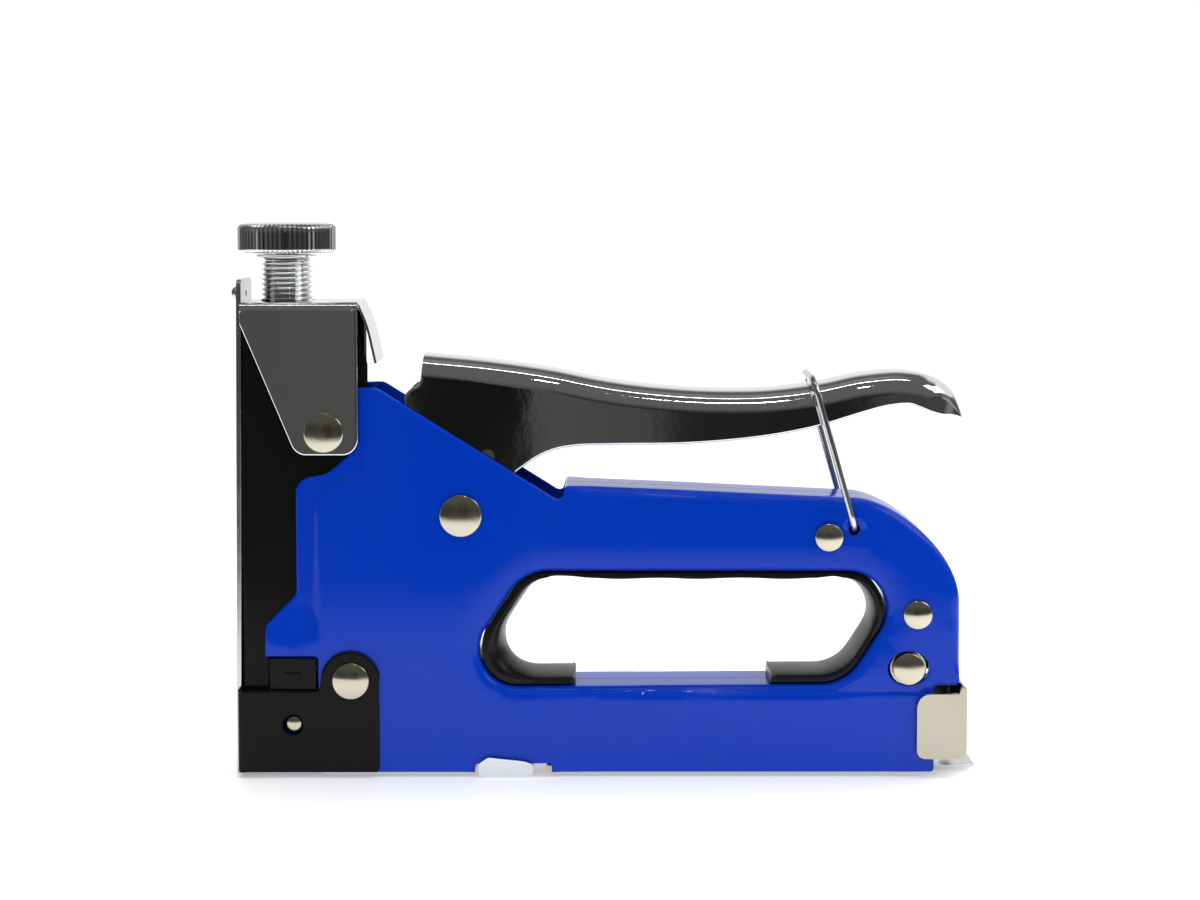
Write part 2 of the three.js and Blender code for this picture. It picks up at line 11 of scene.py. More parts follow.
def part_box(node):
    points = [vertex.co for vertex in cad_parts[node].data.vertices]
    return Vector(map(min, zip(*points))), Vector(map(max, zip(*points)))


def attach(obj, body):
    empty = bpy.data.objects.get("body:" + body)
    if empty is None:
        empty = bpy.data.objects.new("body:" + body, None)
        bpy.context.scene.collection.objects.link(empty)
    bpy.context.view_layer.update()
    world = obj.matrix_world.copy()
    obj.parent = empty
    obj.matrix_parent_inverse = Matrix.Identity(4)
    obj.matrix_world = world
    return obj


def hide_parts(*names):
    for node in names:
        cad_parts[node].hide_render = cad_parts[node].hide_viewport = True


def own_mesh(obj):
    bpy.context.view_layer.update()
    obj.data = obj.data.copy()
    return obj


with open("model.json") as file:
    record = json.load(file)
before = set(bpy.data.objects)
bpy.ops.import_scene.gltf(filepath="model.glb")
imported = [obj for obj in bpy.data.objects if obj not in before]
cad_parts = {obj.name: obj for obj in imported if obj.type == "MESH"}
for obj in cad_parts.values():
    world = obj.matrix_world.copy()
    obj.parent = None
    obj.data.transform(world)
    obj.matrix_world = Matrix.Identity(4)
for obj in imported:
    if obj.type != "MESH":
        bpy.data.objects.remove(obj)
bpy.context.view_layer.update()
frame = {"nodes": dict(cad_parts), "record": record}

mm = 0.001
weldDistance = 0.000002
# outlines below are in millimetres from the body's datum, found again from the shell's box
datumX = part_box("body_shell_left")[0][0] / mm + 83.5
print("frame loaded, datum at x =", round(datumX, 3), "mm")


# ---------- node helpers shared by the room, the finishes and the turned pieces
def mathNode(tree, operation, *values):
    node = tree.nodes.new("ShaderNodeMath")
    node.operation = operation
    for i, value in enumerate(values):
        if isinstance(value, (int, float)):
            node.inputs[i].default_value = value
        else:
            tree.links.new(value, node.inputs[i])
    return node.outputs[0]


# value carried from one range to another, clamped
def rangeNode(tree, value, fromLow, fromHigh, low=0.0, high=1.0, interpolation="SMOOTHSTEP"):
    node = tree.nodes.new("ShaderNodeMapRange")
    node.interpolation_type = interpolation
    for label, number in zip(("From Min", "From Max", "To Min", "To Max"), (fromLow, fromHigh, low, high)):
        if isinstance(number, (int, float)):
            node.inputs[label].default_value = number
        else:
            tree.links.new(number, node.inputs[label])
    tree.links.new(value, node.inputs["Value"])
    return node.outputs["Result"]


# colour a turns to colour b as the factor rises
def mixNode(tree, factor, a, b):
    node = tree.nodes.new("ShaderNodeMix")
    node.data_type = "RGBA"
    tree.links.new(factor, node.inputs["Factor"])
    for label, value in (("A", a), ("B", b)):
        if isinstance(value, tuple):
            node.inputs[label].default_value = (*value, 1)
        else:
            tree.links.new(value, node.inputs[label])
    return node.outputs["Result"]


def newGroup(name, treeKind, sockets, output):
    tree = bpy.data.node_groups.new(name, treeKind)
    ids = {}
    for label, kind, value in sockets:
        socket = tree.interface.new_socket(name=label, in_out="INPUT", socket_type="NodeSocket" + kind)
        if value is not None:
            socket.default_value = value
        ids[label] = socket.identifier
    tree.interface.new_socket(name=output[0], in_out="OUTPUT", socket_type="NodeSocket" + output[1])
    return tree, ids, tree.nodes.new("NodeGroupInput").outputs, tree.nodes.new("NodeGroupOutput").inputs


def meshFrom(name, bm):
    mesh = bpy.data.meshes.new(name)
    bm.to_mesh(mesh)
    bm.free()
    return mesh


def linked(name, data):
    thing = bpy.data.objects.new(name, data)
    bpy.context.collection.objects.link(thing)
    return thing


# ---------- camera, lights and floor
studio = {
    "cameraY": -0.5526,
    "cameraZ": 0.1436,
    "tilt": 3.64,
    "lens": 66.0,
    "shiftY": -0.0917,
    "floorWhite": 0.93,
    "keyPower": 5.6,
    "fillPower": 3.4,
    "stripPower": 0.06,
    "topPower": 0.16,
    "cardPower": 0.75,
    "backWhite": 1.05,
    "roomWhite": 0.9,
    "patchSpread": 0.3,
    "patchWarmth": 0.93,
    "patches": [(-0.3, 0.06), (-0.1, 0.088), (-0.082, 0.008), (-0.036, 0.008), (-0.029, 0.085), (0.02, 0.07),
                (0.04, 0.018), (0.115, 0.014), (0.13, 0.055), (0.3, 0.06)],
    "riseStart": (0.08, 0.35),
    "frontHigh": (0.12, 0.125, 0.12),
    "overheadStart": (0.93, 1.2),
    "behindStart": (0.5, 0.92),
    "sideGlow": 0.34,
    "glowFrom": (0.84, 0.9),
    "glowTo": (0.955, 0.985),
    "glowDepth": (0.0, 0.1),
    "reachFrom": 0.3,
    "reachRise": (0.15, 0.55),
    "reachPower": 2.2,
    "tableEdge": (-0.3, -0.16),
    "floorFade": (0.45, 1.1),
}


def areaLight(name, place, aim, size, power, inGloss=True):
    data = bpy.data.lights.new(name, "AREA")
    data.shape = "RECTANGLE"
    data.size, data.size_y = size
    data.energy = power
    light = linked(name, data)
    light.location = place
    light.rotation_euler = (Vector(aim) - Vector(place)).to_track_quat("-Z", "Y").to_euler()
    light.visible_glossy = inGloss
    return light


def makeStudio():
    scene = bpy.context.scene
    scene.view_settings.view_transform = "Standard"
    data = bpy.data.cameras.new("camera")
    data.lens = studio["lens"]
    data.sensor_width = 36.0
    data.shift_y = studio["shiftY"]
    camera = bpy.data.objects.new("camera", data)
    camera.location = (datumX * mm, studio["cameraY"], studio["cameraZ"])
    camera.rotation_euler = (math.radians(90 - studio["tilt"]), 0, 0)
    bpy.context.collection.objects.link(camera)
    scene.camera = camera

    areaLight("keyLight", (0.05, 0.1, 0.75), (0, 0, 0.05), (0.9, 0.6), studio["keyPower"], False)
    areaLight("stripLight", (0.06, -0.42, 0.56), (0.02, 0, 0.09), (0.034, 0.014), studio["stripPower"])
    areaLight("frontFill", (-0.25, -0.8, 0.55), (0, 0, 0.06), (0.7, 0.5), studio["fillPower"], False)
    areaLight("rearFill", (0.6, 0.5, 0.35), (0, 0, 0.07), (0.5, 0.5), studio["fillPower"] * 0.7, False)
    areaLight("topStrip", (0.02, -0.14, 0.62), (0.02, 0, 0.05), (0.4, 0.012), studio["topPower"])
    areaLight("tailCard", (0.5, -0.2, 0.5), (0.08, 0, 0.095), (0.4, 0.3), studio["cardPower"])

    makeRoom(scene)

    mesh = bpy.data.meshes.new("floor")
    bm = bmesh.new()
    bmesh.ops.create_grid(bm, x_segments=4, y_segments=4, size=3.0)
    bm.to_mesh(mesh)
    bm.free()
    floor = linked("floor", mesh)
    mesh.transform(Matrix.Translation((0, 0, -0.0004)))
    floor.data.materials.append(floorFinish())


# the room is white behind and above the gun; towards the camera it is dark, with soft grey patches
def makeRoom(scene):
    world = bpy.data.worlds.new("room")
    scene.world = world
    world.use_nodes = True
    tree = world.node_tree
    nodes, links = tree.nodes, tree.links
    nodes.clear()
    split = nodes.new("ShaderNodeSeparateXYZ")
    links.new(nodes.new("ShaderNodeTexCoord").outputs["Generated"], split.inputs[0])
    x, y, z = split.outputs
    white = (studio["roomWhite"],) * 3

    # towards the camera: grey patches side by side
    spread = studio["patchSpread"]
    ahead = mathNode(tree, "MAXIMUM", mathNode(tree, "MULTIPLY", y, -1), 0.05)
    sideways = mathNode(tree, "DIVIDE", x, ahead)
    patches = nodes.new("ShaderNodeValToRGB")
    stops = patches.color_ramp
    stops.interpolation = "EASE"
    while len(stops.elements) < len(studio["patches"]):
        stops.elements.new(0.5)
    for element, (at, grey) in zip(stops.elements, studio["patches"]):
        element.position = 0.5 + at / (2 * spread)
        element.color = (grey, grey, grey * studio["patchWarmth"], 1)
    links.new(mathNode(tree, "ADD", mathNode(tree, "DIVIDE", sideways, 2 * spread), 0.5), patches.inputs[0])

    # a soft grey glow at either side, a little in front
    wide = mathNode(tree, "ABSOLUTE", x)
    inner, outer = studio["glowFrom"], studio["glowTo"]
    band = mathNode(tree, "MULTIPLY", rangeNode(tree, wide, *inner), rangeNode(tree, wide, *outer, 1, 0))
    glow = mathNode(tree, "MULTIPLY", band, rangeNode(tree, y, *studio["glowDepth"], 1, 0))
    lit = mixNode(tree, glow, patches.outputs[0], (studio["sideGlow"],) * 3)

    front = mixNode(tree, rangeNode(tree, z, *studio["riseStart"]), lit, studio["frontHigh"])
    above = mixNode(tree, rangeNode(tree, z, *studio["overheadStart"]), front, white)
    # the white behind also reaches round to the upper right
    right = mathNode(tree, "MAXIMUM", mathNode(tree, "SUBTRACT", x, studio["reachFrom"]), 0)
    rise = rangeNode(tree, z, *studio["reachRise"], 0, studio["reachPower"])
    reach = mathNode(tree, "MULTIPLY", right, rise)
    rear = rangeNode(tree, mathNode(tree, "ADD", y, reach), *studio["behindStart"])
    behind = mixNode(tree, rear, above, white)

    room = nodes.new("ShaderNodeBackground")
    seen = nodes.new("ShaderNodeBackground")
    seen.inputs["Color"].default_value = (1, 1, 1, 1)
    seen.inputs["Strength"].default_value = studio["backWhite"]
    both = nodes.new("ShaderNodeMixShader")
    links.new(behind, room.inputs["Color"])
    links.new(nodes.new("ShaderNodeLightPath").outputs["Is Camera Ray"], both.inputs[0])
    links.new(room.outputs[0], both.inputs[1])
    links.new(seen.outputs[0], both.inputs[2])
    links.new(both.outputs[0], nodes.new("ShaderNodeOutputWorld").inputs["Surface"])


# the floor fades out towards the camera and at its rim
def floorFinish():
    material = bpy.data.materials.new("studioFloor")
    material.use_nodes = True
    tree = material.node_tree
    shader = tree.nodes["Principled BSDF"]
    shader.inputs["Base Color"].default_value = (studio["floorWhite"],) * 3 + (1,)
    shader.inputs["Roughness"].default_value = 0.32
    shader.inputs["Specular IOR Level"].default_value = 0.35
    shader.inputs["Emission Color"].default_value = (1, 1, 1, 1)
    shader.inputs["Emission Strength"].default_value = 0.3
    place = tree.nodes.new("ShaderNodeTexCoord").outputs["Object"]
    split = tree.nodes.new("ShaderNodeSeparateXYZ")
    length = tree.nodes.new("ShaderNodeVectorMath")
    length.operation = "LENGTH"
    tree.links.new(place, split.inputs[0])
    tree.links.new(place, length.inputs[0])
    edge = rangeNode(tree, split.outputs["Y"], *studio["tableEdge"])
    fade = rangeNode(tree, length.outputs["Value"], *studio["floorFade"], 1, 0)
    tree.links.new(mathNode(tree, "MULTIPLY", edge, fade), shader.inputs["Alpha"])
    return material


makeStudio()
print("studio ready")


# ---------- finishes
# dust: tiny pale specks, gathered in patches
def dustGroup():
    tree, _, given, result = newGroup("dustSpecks", "ShaderNodeTree", [
        ("Vector", "Vector", None), ("Density", "Float", 900.0), ("Amount", "Float", 0.5),
    ], ("Mask", "Float"))
    cells = tree.nodes.new("ShaderNodeTexVoronoi")
    cells.inputs["Randomness"].default_value = 1.0
    patch = tree.nodes.new("ShaderNodeTexNoise")
    patch.inputs["Scale"].default_value = 95.0
    patch.inputs["Detail"].default_value = 2.0
    tree.links.new(given["Vector"], cells.inputs["Vector"])
    tree.links.new(given["Density"], cells.inputs["Scale"])
    tree.links.new(given["Vector"], patch.inputs["Vector"])
    speck = rangeNode(tree, cells.outputs["Distance"], 0.16, 0.06, interpolation="LINEAR")
    gate = rangeNode(tree, patch.outputs["Fac"], 0.52, 0.7, interpolation="LINEAR")
    mask = mathNode(tree, "MULTIPLY", mathNode(tree, "MULTIPLY", speck, gate), given["Amount"])
    tree.links.new(mask, result["Mask"])
    return tree


# handling marks: a roughness that varies softly over the surface
def smudgeGroup():
    tree, _, given, result = newGroup("handlingMarks", "ShaderNodeTree", [
        ("Vector", "Vector", None), ("Scale", "Float", 40.0), ("Low", "Float", 0.05), ("High", "Float", 0.15),
    ], ("Roughness", "Float"))
    noise = tree.nodes.new("ShaderNodeTexNoise")
    noise.inputs["Detail"].default_value = 6.0
    noise.inputs["Roughness"].default_value = 0.62
    tree.links.new(given["Vector"], noise.inputs["Vector"])
    tree.links.new(given["Scale"], noise.inputs["Scale"])
    rough = rangeNode(tree, noise.outputs["Fac"], 0.35, 0.68, given["Low"], given["High"], "LINEAR")
    tree.links.new(rough, result["Roughness"])
    return tree


dustNodes = dustGroup()
smudgeNodes = smudgeGroup()

finishes = {
    "bluePaint": {
        "color": (0.001, 0.04, 0.49), "dustColor": (0.25, 0.34, 0.8), "dust": 0.5,
        "metallic": 0.0, "rough": (0.12, 0.2), "smudge": 30.0, "coat": 0.36, "specular": 0.05,
        "bump": (420.0, 0.012), "spread": 2400.0,
    },
    "blackPaint": {
        "color": (0.006, 0.006, 0.0055), "dustColor": (0.2, 0.2, 0.19), "dust": 0.6,
        "metallic": 0.0, "rough": (0.2, 0.36), "smudge": 45.0, "coat": 0.12, "specular": 0.04,
        "bump": (700.0, 0.02), "spread": 2000.0,
    },
    "chromePlate": {
        "color": (0.78, 0.79, 0.80), "dustColor": (0.62, 0.62, 0.6), "dust": 0.25,
        "metallic": 1.0, "rough": (0.02, 0.06), "smudge": 26.0, "coat": 0.0,
        "bump": (160.0, 0.012), "spread": 1500.0,
    },
    "nickelPlate": {
        "color": (0.57, 0.53, 0.42), "dustColor": (0.45, 0.42, 0.36), "dust": 0.4,
        "metallic": 1.0, "rough": (0.12, 0.24), "smudge": 60.0, "coat": 0.0,
        "bump": (600.0, 0.02), "spread": 2600.0,
    },
    "latchPlate": {
        "color": (0.46, 0.43, 0.35), "dustColor": (0.3, 0.28, 0.24), "dust": 0.5,
        "metallic": 1.0, "rough": (0.1, 0.22), "smudge": 70.0, "coat": 0.0,
        "bump": (500.0, 0.02), "spread": 2600.0,
    },
    "zincPlate": {
        "color": (0.62, 0.63, 0.64), "dustColor": (0.4, 0.4, 0.4), "dust": 0.15,
        "metallic": 1.0, "rough": (0.16, 0.26), "smudge": 80.0, "coat": 0.0,
        "bump": (500.0, 0.008), "spread": 2200.0,
    },
    "springSteel": {
        "color": (0.2, 0.21, 0.225), "dustColor": (0.3, 0.3, 0.3), "dust": 0.2,
        "metallic": 1.0, "rough": (0.25, 0.4), "smudge": 90.0, "coat": 0.0,
        "bump": (900.0, 0.03), "spread": 2200.0,
    },
    "linerRubber": {
        "color": (0.006, 0.006, 0.0065), "dustColor": (0.12, 0.12, 0.12), "dust": 0.7,
        "metallic": 0.0, "rough": (0.26, 0.38), "smudge": 50.0, "coat": 0.0, "specular": 0.2,
        "bump": (1500.0, 0.05), "spread": 2600.0,
    },
    "blackPlastic": {
        "color": (0.006, 0.006, 0.0065), "dustColor": (0.15, 0.15, 0.15), "dust": 0.5,
        "metallic": 0.0, "rough": (0.3, 0.42), "smudge": 60.0, "coat": 0.0, "specular": 0.15,
        "bump": (1800.0, 0.06), "spread": 2600.0,
    },
}


def makeFinish(name, look):
    material = bpy.data.materials.new(name)
    material.use_nodes = True
    nodes, links = material.node_tree.nodes, material.node_tree.links
    shader = nodes["Principled BSDF"]
    place = nodes.new("ShaderNodeTexCoord")
    dust = nodes.new("ShaderNodeGroup")
    dust.node_tree = dustNodes
    dust.inputs["Density"].default_value = look["spread"]
    dust.inputs["Amount"].default_value = look["dust"]
    smudge = nodes.new("ShaderNodeGroup")
    smudge.node_tree = smudgeNodes
    smudge.inputs["Scale"].default_value = look["smudge"]
    smudge.inputs["Low"].default_value, smudge.inputs["High"].default_value = look["rough"]
    grain = nodes.new("ShaderNodeTexNoise")
    grain.inputs["Scale"].default_value = look["bump"][0]
    grain.inputs["Detail"].default_value = 3.0
    bump = nodes.new("ShaderNodeBump")
    bump.inputs["Strength"].default_value = 1.0
    bump.inputs["Distance"].default_value = look["bump"][1] * mm
    for node in (dust, smudge, grain):
        links.new(place.outputs["Object"], node.inputs["Vector"])
    colour = mixNode(material.node_tree, dust.outputs["Mask"], look["color"], look["dustColor"])
    links.new(colour, shader.inputs["Base Color"])
    links.new(smudge.outputs["Roughness"], shader.inputs["Roughness"])
    links.new(grain.outputs["Fac"], bump.inputs["Height"])
    links.new(bump.outputs["Normal"], shader.inputs["Normal"])
    shader.inputs["Metallic"].default_value = look["metallic"]
    shader.inputs["Specular IOR Level"].default_value = look.get("specular", 0.5)
    shader.inputs["Coat Weight"].default_value = look["coat"]
    shader.inputs["Coat Roughness"].default_value = 0.04
    return material


materials = {name: makeFinish(name, look) for name, look in finishes.items()}
slotNames = {
    "bluePaint": "blue_paint", "blackPaint": "black_paint", "chromePlate": "chrome",
    "latchPlate": "nickel", "nickelPlate": "nickel", "zincPlate": "zinc", "springSteel": "spring_steel",
    "linerRubber": "rubber", "blackPlastic": "black_plastic",
}
finishOfSlot = {slot: name for name, slot in slotNames.items()}
for row in frame["record"]["subparts"]:
    part = frame["nodes"][row["node"]]
    part.data.materials.clear()
    part.data.materials.append(materials[finishOfSlot[row["material_slot"]]])
print("finishes made:", len(materials))


# ---------- shared mesh tools
def arcCorners(corners, arcStep=0.35, lineStep=1.0, closed=True):
    points = []
    count = len(corners)
    for i, corner in enumerate(corners):
        here = np.array(corner[:2], float)
        radius = corner[2] if len(corner) > 2 else 0
        if not radius or (not closed and i in (0, count - 1)):
            points.append(here)
            continue
        back = np.array(corners[i - 1][:2], float) - here
        ahead = np.array(corners[(i + 1) % count][:2], float) - here
        back /= np.linalg.norm(back)
        ahead /= np.linalg.norm(ahead)
        if back @ ahead < -0.99999:
            points.append(here)
            continue
        half = math.acos(np.clip(back @ ahead, -1, 1)) / 2
        middle = (back + ahead) / np.linalg.norm(back + ahead)
        centre = here + middle * radius / math.sin(half)
        first = here + back * radius / math.tan(half) - centre
        last = here + ahead * radius / math.tan(half) - centre
        turn = math.atan2(first[0] * last[1] - first[1] * last[0], first @ last)
        steps = max(3, int(abs(turn) * radius / arcStep))
        for k in range(steps + 1):
            a = turn * k / steps
            spin = np.array([[math.cos(a), -math.sin(a)], [math.sin(a), math.cos(a)]])
            points.append(centre + spin @ first)
    points = [p for p, ahead in zip(points, points[1:] + points[:1]) if np.linalg.norm(ahead - p) > 1e-4]
    if not closed:
        return dense(np.array(points), lineStep)
    loop = dense(np.array([*points, points[0]]), lineStep)[:-1]
    return loop if signedArea(loop) > 0 else loop[::-1]


# the outline of a sheet whose walled edge is bent over: nothing lies between the two stretches, because
# the rings of the bend itself close the gap there
def walledLoop(walled, rest, step=1.0):
    loop = np.vstack([dense(np.array(walled, float), step), rest])
    return loop if signedArea(loop) > 0 else loop[::-1]


def dense(line, step):
    out = []
    for here, ahead in zip(line, line[1:]):
        pieces = max(1, int(math.ceil(np.linalg.norm(ahead - here) / step)))
        out += [here + (ahead - here) * k / pieces for k in range(pieces)]
    return np.array([*out, line[-1]])


def signedArea(loop):
    x, z = loop[:, 0], loop[:, 1]
    return 0.5 * np.sum(x * np.roll(z, -1) - np.roll(x, -1) * z)


def circleLoop(x, z, radius, steps=40):
    turn = np.linspace(0, 2 * math.pi, steps, endpoint=False)
    return np.stack([x + radius * np.cos(turn), z + radius * np.sin(turn)], 1)


def splinePoints(pairs, steps):
    pairs = np.array(pairs, float)
    padded = np.vstack([2 * pairs[0] - pairs[1], pairs, 2 * pairs[-1] - pairs[-2]])
    out = []
    for i in range(1, len(padded) - 2):
        a, b, c, d = padded[i - 1 : i + 3]
        for t in np.linspace(0, 1, steps, endpoint=False):
            out.append(0.5 * (2 * b + (c - a) * t + (2 * a - 5 * b + 4 * c - d) * t**2
                              + (3 * b - a - 3 * c + d) * t**3))
    out.append(pairs[-1])
    return np.array(out)


def inLoop(points, loop):
    x, z = points[:, 0][:, None], points[:, 1][:, None]
    x0, z0 = loop[:, 0][None], loop[:, 1][None]
    x1, z1 = np.roll(loop[:, 0], -1)[None], np.roll(loop[:, 1], -1)[None]
    crosses = (z0 > z) != (z1 > z)
    with np.errstate(divide="ignore", invalid="ignore"):
        at = x0 + (z - z0) * (x1 - x0) / (z1 - z0)
    return (np.sum(crosses & (x < at), 1) % 2) == 1


def toLine(points, line, closed=True):
    ends = np.roll(line, -1, 0) if closed else line[1:]
    starts = line if closed else line[:-1]
    run = ends - starts
    size = np.maximum(np.sum(run * run, 1), 1e-12)
    best = np.full(len(points), 1e9)
    for s, r, q in zip(starts, run, size):
        t = np.clip(((points - s) @ r) / q, 0, 1)
        best = np.minimum(best, np.linalg.norm(points - s - t[:, None] * r, axis=1))
    return best


def smooth(value, low, high):
    t = np.clip((np.asarray(value, float) - low) / (high - low), 0, 1)
    return t * t * (3 - 2 * t)


# one half of a pressed sheet: a face at faceY, edges rolled over, walls turned in to wallTo.
# edge(points, hole) gives each rim point's roll radius and how far in its wall goes (nan: none)
def pressedHalf(bm, side, outline, holes, faceY, edge, drop=None, spacing=3.0, fine=None, guard=0.25,
                domed=False):
    rollSteps, wallSteps = (14, 0) if domed else (6, 3)
    drop = drop or (lambda p: np.zeros(len(p)))
    innerLoops, innerVerts = [], []
    loops = [(outline, False)] + [(hole[::-1] if signedArea(hole) > 0 else hole, True) for hole in holes]

    def vert(x, y, z):
        return bm.verts.new(((x + datumX) * mm, side * y * mm, z * mm))

    def face(corners):
        corners = corners if side < 0 else corners[::-1]
        if len(set(corners)) > 2:
            try:
                bm.faces.new(corners)
            except ValueError:
                pass

    for loop, isHole in loops:
        radius, wallTo = edge(loop, isHole)
        ahead = np.roll(loop, -1, 0) - loop
        ahead /= np.linalg.norm(ahead, axis=1)[:, None]
        behind = np.roll(ahead, 1, 0)
        walled = ~np.isnan(wallTo)
        starts = walled & ~np.roll(walled, 1)
        ends = walled & ~np.roll(walled, -1)
        along = np.where(starts[:, None], ahead, np.where(ends[:, None], behind, ahead + behind))
        along /= np.linalg.norm(along, axis=1)[:, None]
        inward = np.stack([-along[:, 1], along[:, 0]], 1)
        rings = []
        base = drop(loop)
        for k in range(wallSteps):
            share = k / wallSteps
            depth = np.where(np.isnan(wallTo), np.nan, wallTo + (faceY - base - radius - wallTo) * share)
            rings.append([None if np.isnan(d) else vert(p[0], d, p[1]) for p, d in zip(loop, depth)])
        for k in range(rollSteps + 1):
            angle = math.pi / 2 * k / rollSteps
            place = loop + inward * (radius * (1 - math.cos(angle)))[:, None]
            if domed:
                depth = (faceY - drop(place)) * math.sin(angle)
            else:
                depth = faceY - radius * (1 - math.sin(angle)) - drop(place)
            rings.append([vert(p[0], d, p[1]) for p, d in zip(place, depth)])
        if guard:
            place = place + inward * guard
            depth = faceY - drop(place)
            rings.append([vert(p[0], d, p[1]) for p, d in zip(place, depth)])
        count = len(loop)
        for low, high in zip(rings, rings[1:]):
            for i in range(count):
                j = (i + 1) % count
                quad = [low[i], low[j], high[j], high[i]]
                if None not in quad and (walled[i] == walled[j] or radius[i] < 1):
                    face(quad)
        innerLoops.append(place)
        innerVerts += rings[-1]

    flat = np.vstack(innerLoops)
    low, high = flat.min(0), flat.max(0)
    grids = [(low, high, spacing)] + (fine or [])
    inner = []
    for lowCorner, highCorner, step in grids:
        xs = np.arange(lowCorner[0], highCorner[0], step)
        zs = np.arange(lowCorner[1], highCorner[1], step)
        grid = np.stack(np.meshgrid(xs, zs), -1).reshape(-1, 2) + step * 0.5
        keep = inLoop(grid, innerLoops[0])
        for hole in innerLoops[1:]:
            keep &= ~inLoop(grid, hole)
        for fineLow, fineHigh, fineStep in fine or []:
            if fineStep < step:
                above, below = grid > np.array(fineLow) - fineStep, grid < np.array(fineHigh) + fineStep
                keep &= ~np.all(above & below, axis=1)
        grid = grid[keep]
        clear = np.min([toLine(grid, loop) for loop in innerLoops], 0) > 0.45 * step
        inner.append(grid[clear])
    inner = np.vstack(inner)
    innerY = faceY - drop(inner)
    coords = [Vector(p) for p in flat] + [Vector(p) for p in inner]
    edges, start = [], 0
    for loop in innerLoops:
        size = len(loop)
        edges += [(start + i, start + (i + 1) % size) for i in range(size)]
        start += size
    points, _, triangles, origins, _, _ = delaunay_2d_cdt(coords, edges, [], 1, 1e-5)
    verts = []
    for point, origin in zip(points, origins):
        if origin and origin[0] < len(innerVerts):
            verts.append(innerVerts[origin[0]])
        elif origin:
            k = origin[0] - len(innerVerts)
            verts.append(vert(inner[k][0], innerY[k], inner[k][1]))
        else:
            spot = np.array([[point.x, point.y]])
            verts.append(vert(point.x, float(faceY - drop(spot)[0]), point.y))
    centres = np.array([sum((points[i] for i in t), Vector((0, 0))) / 3 for t in triangles])
    keep = inLoop(centres, innerLoops[0])
    for hole in innerLoops[1:]:
        keep &= ~inLoop(centres, hole)
    for triangle, kept in zip(triangles, keep):
        if kept:
            a, b, c = (points[i] for i in triangle)
            turn = (b - a).cross(c - a)
            order = triangle if turn > 0 else triangle[::-1]
            face([verts[i] for i in order])


def pieceFrom(name, bm, finish, body, *nodes, weld=0.00001, angle=38):
    bmesh.ops.remove_doubles(bm, verts=bm.verts, dist=weld)
    loose = [v for v in bm.verts if not v.link_faces]
    bmesh.ops.delete(bm, geom=loose, context="VERTS")
    piece = linked(name, meshFrom(name, bm))
    dress(piece, finish, body, *nodes, angle=angle)
    return piece


def dress(piece, finish, body, *nodes, angle=38):
    if not piece.data.materials:
        piece.data.materials.append(materials[finish])
    piece.data.shade_smooth()
    piece.data.set_sharp_from_angle(angle=math.radians(angle))
    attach(piece, body)
    if nodes:
        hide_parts(*nodes)


def applyModifiers(piece):
    bpy.context.view_layer.update()
    graph = bpy.context.evaluated_depsgraph_get()
    mesh = bpy.data.meshes.new_from_object(piece.evaluated_get(graph))
    piece.modifiers.clear()
    old = piece.data
    piece.data = mesh
    bpy.data.meshes.remove(old)


# the width is in millimetres
def breakEdges(piece, width, segments, angle):
    edge = piece.modifiers.new("edge", "BEVEL")
    edge.width = width * mm
    edge.segments = segments
    edge.limit_method = "ANGLE"
    edge.angle_limit = math.radians(angle)


def thicken(piece, thickness, bevel=0.0):
    wall = piece.modifiers.new("wall", "SOLIDIFY")
    wall.thickness = thickness * mm
    wall.offset = -1
    wall.use_even_offset = False
    wall.use_rim = True
    if bevel:
        breakEdges(piece, bevel, 2, 50)
    applyModifiers(piece)
    steadyNormals(piece)


# smooth shading in which the wide flat faces keep their own direction
def steadyNormals(piece, angle=50):
    piece.data.shade_smooth()
    piece.data.set_sharp_from_angle(angle=math.radians(angle))
    weigh = piece.modifiers.new("normals", "WEIGHTED_NORMAL")
    weigh.keep_sharp = True
    weigh.weight = 50
    applyModifiers(piece)


def copyOf(node):
    source = frame["nodes"][node]
    bm = bmesh.new()
    bm.from_mesh(source.data)
    bmesh.ops.remove_doubles(bm, verts=bm.verts, dist=weldDistance)
    bmesh.ops.dissolve_limit(bm, angle_limit=math.radians(1), verts=bm.verts, edges=bm.edges)
    return bm


# a CAD solid whose shape is right, with its edges broken as a real pressed or moulded one has
def softEdged(name, node, finish, body, width=0.25, segments=3):
    bm = copyOf(node)
    piece = linked(name, meshFrom(name, bm))
    breakEdges(piece, width, segments, 32)
    applyModifiers(piece)
    piece.data.materials.clear()
    dress(piece, finish, body, node)
    steadyNormals(piece, 35)
    return piece


def carve(piece, cutters):
    for i, cutter in enumerate(cutters):
        tool = piece.modifiers.new(f"cut{i}", "BOOLEAN")
        tool.object = cutter
        tool.operation = "DIFFERENCE"
        tool.solver = "EXACT"
    applyModifiers(piece)
    for cutter in cutters:
        bpy.data.objects.remove(cutter)
    steadyNormals(piece, 40)


def drum(x, y, z, radius, length, axis, steps=64):
    bm = bmesh.new()
    bmesh.ops.create_cone(bm, cap_ends=True, segments=steps, radius1=radius * mm, radius2=radius * mm,
                          depth=length * mm)
    spin = {"x": Matrix.Rotation(math.pi / 2, 4, "Y"), "y": Matrix.Rotation(math.pi / 2, 4, "X"),
            "z": Matrix.Identity(4)}[axis]
    bm.transform(Matrix.Translation(((x + datumX) * mm, y * mm, z * mm)) @ spin)
    cutter = linked("cutter", meshFrom("cutter", bm))
    cutter.hide_render = True
    return cutter


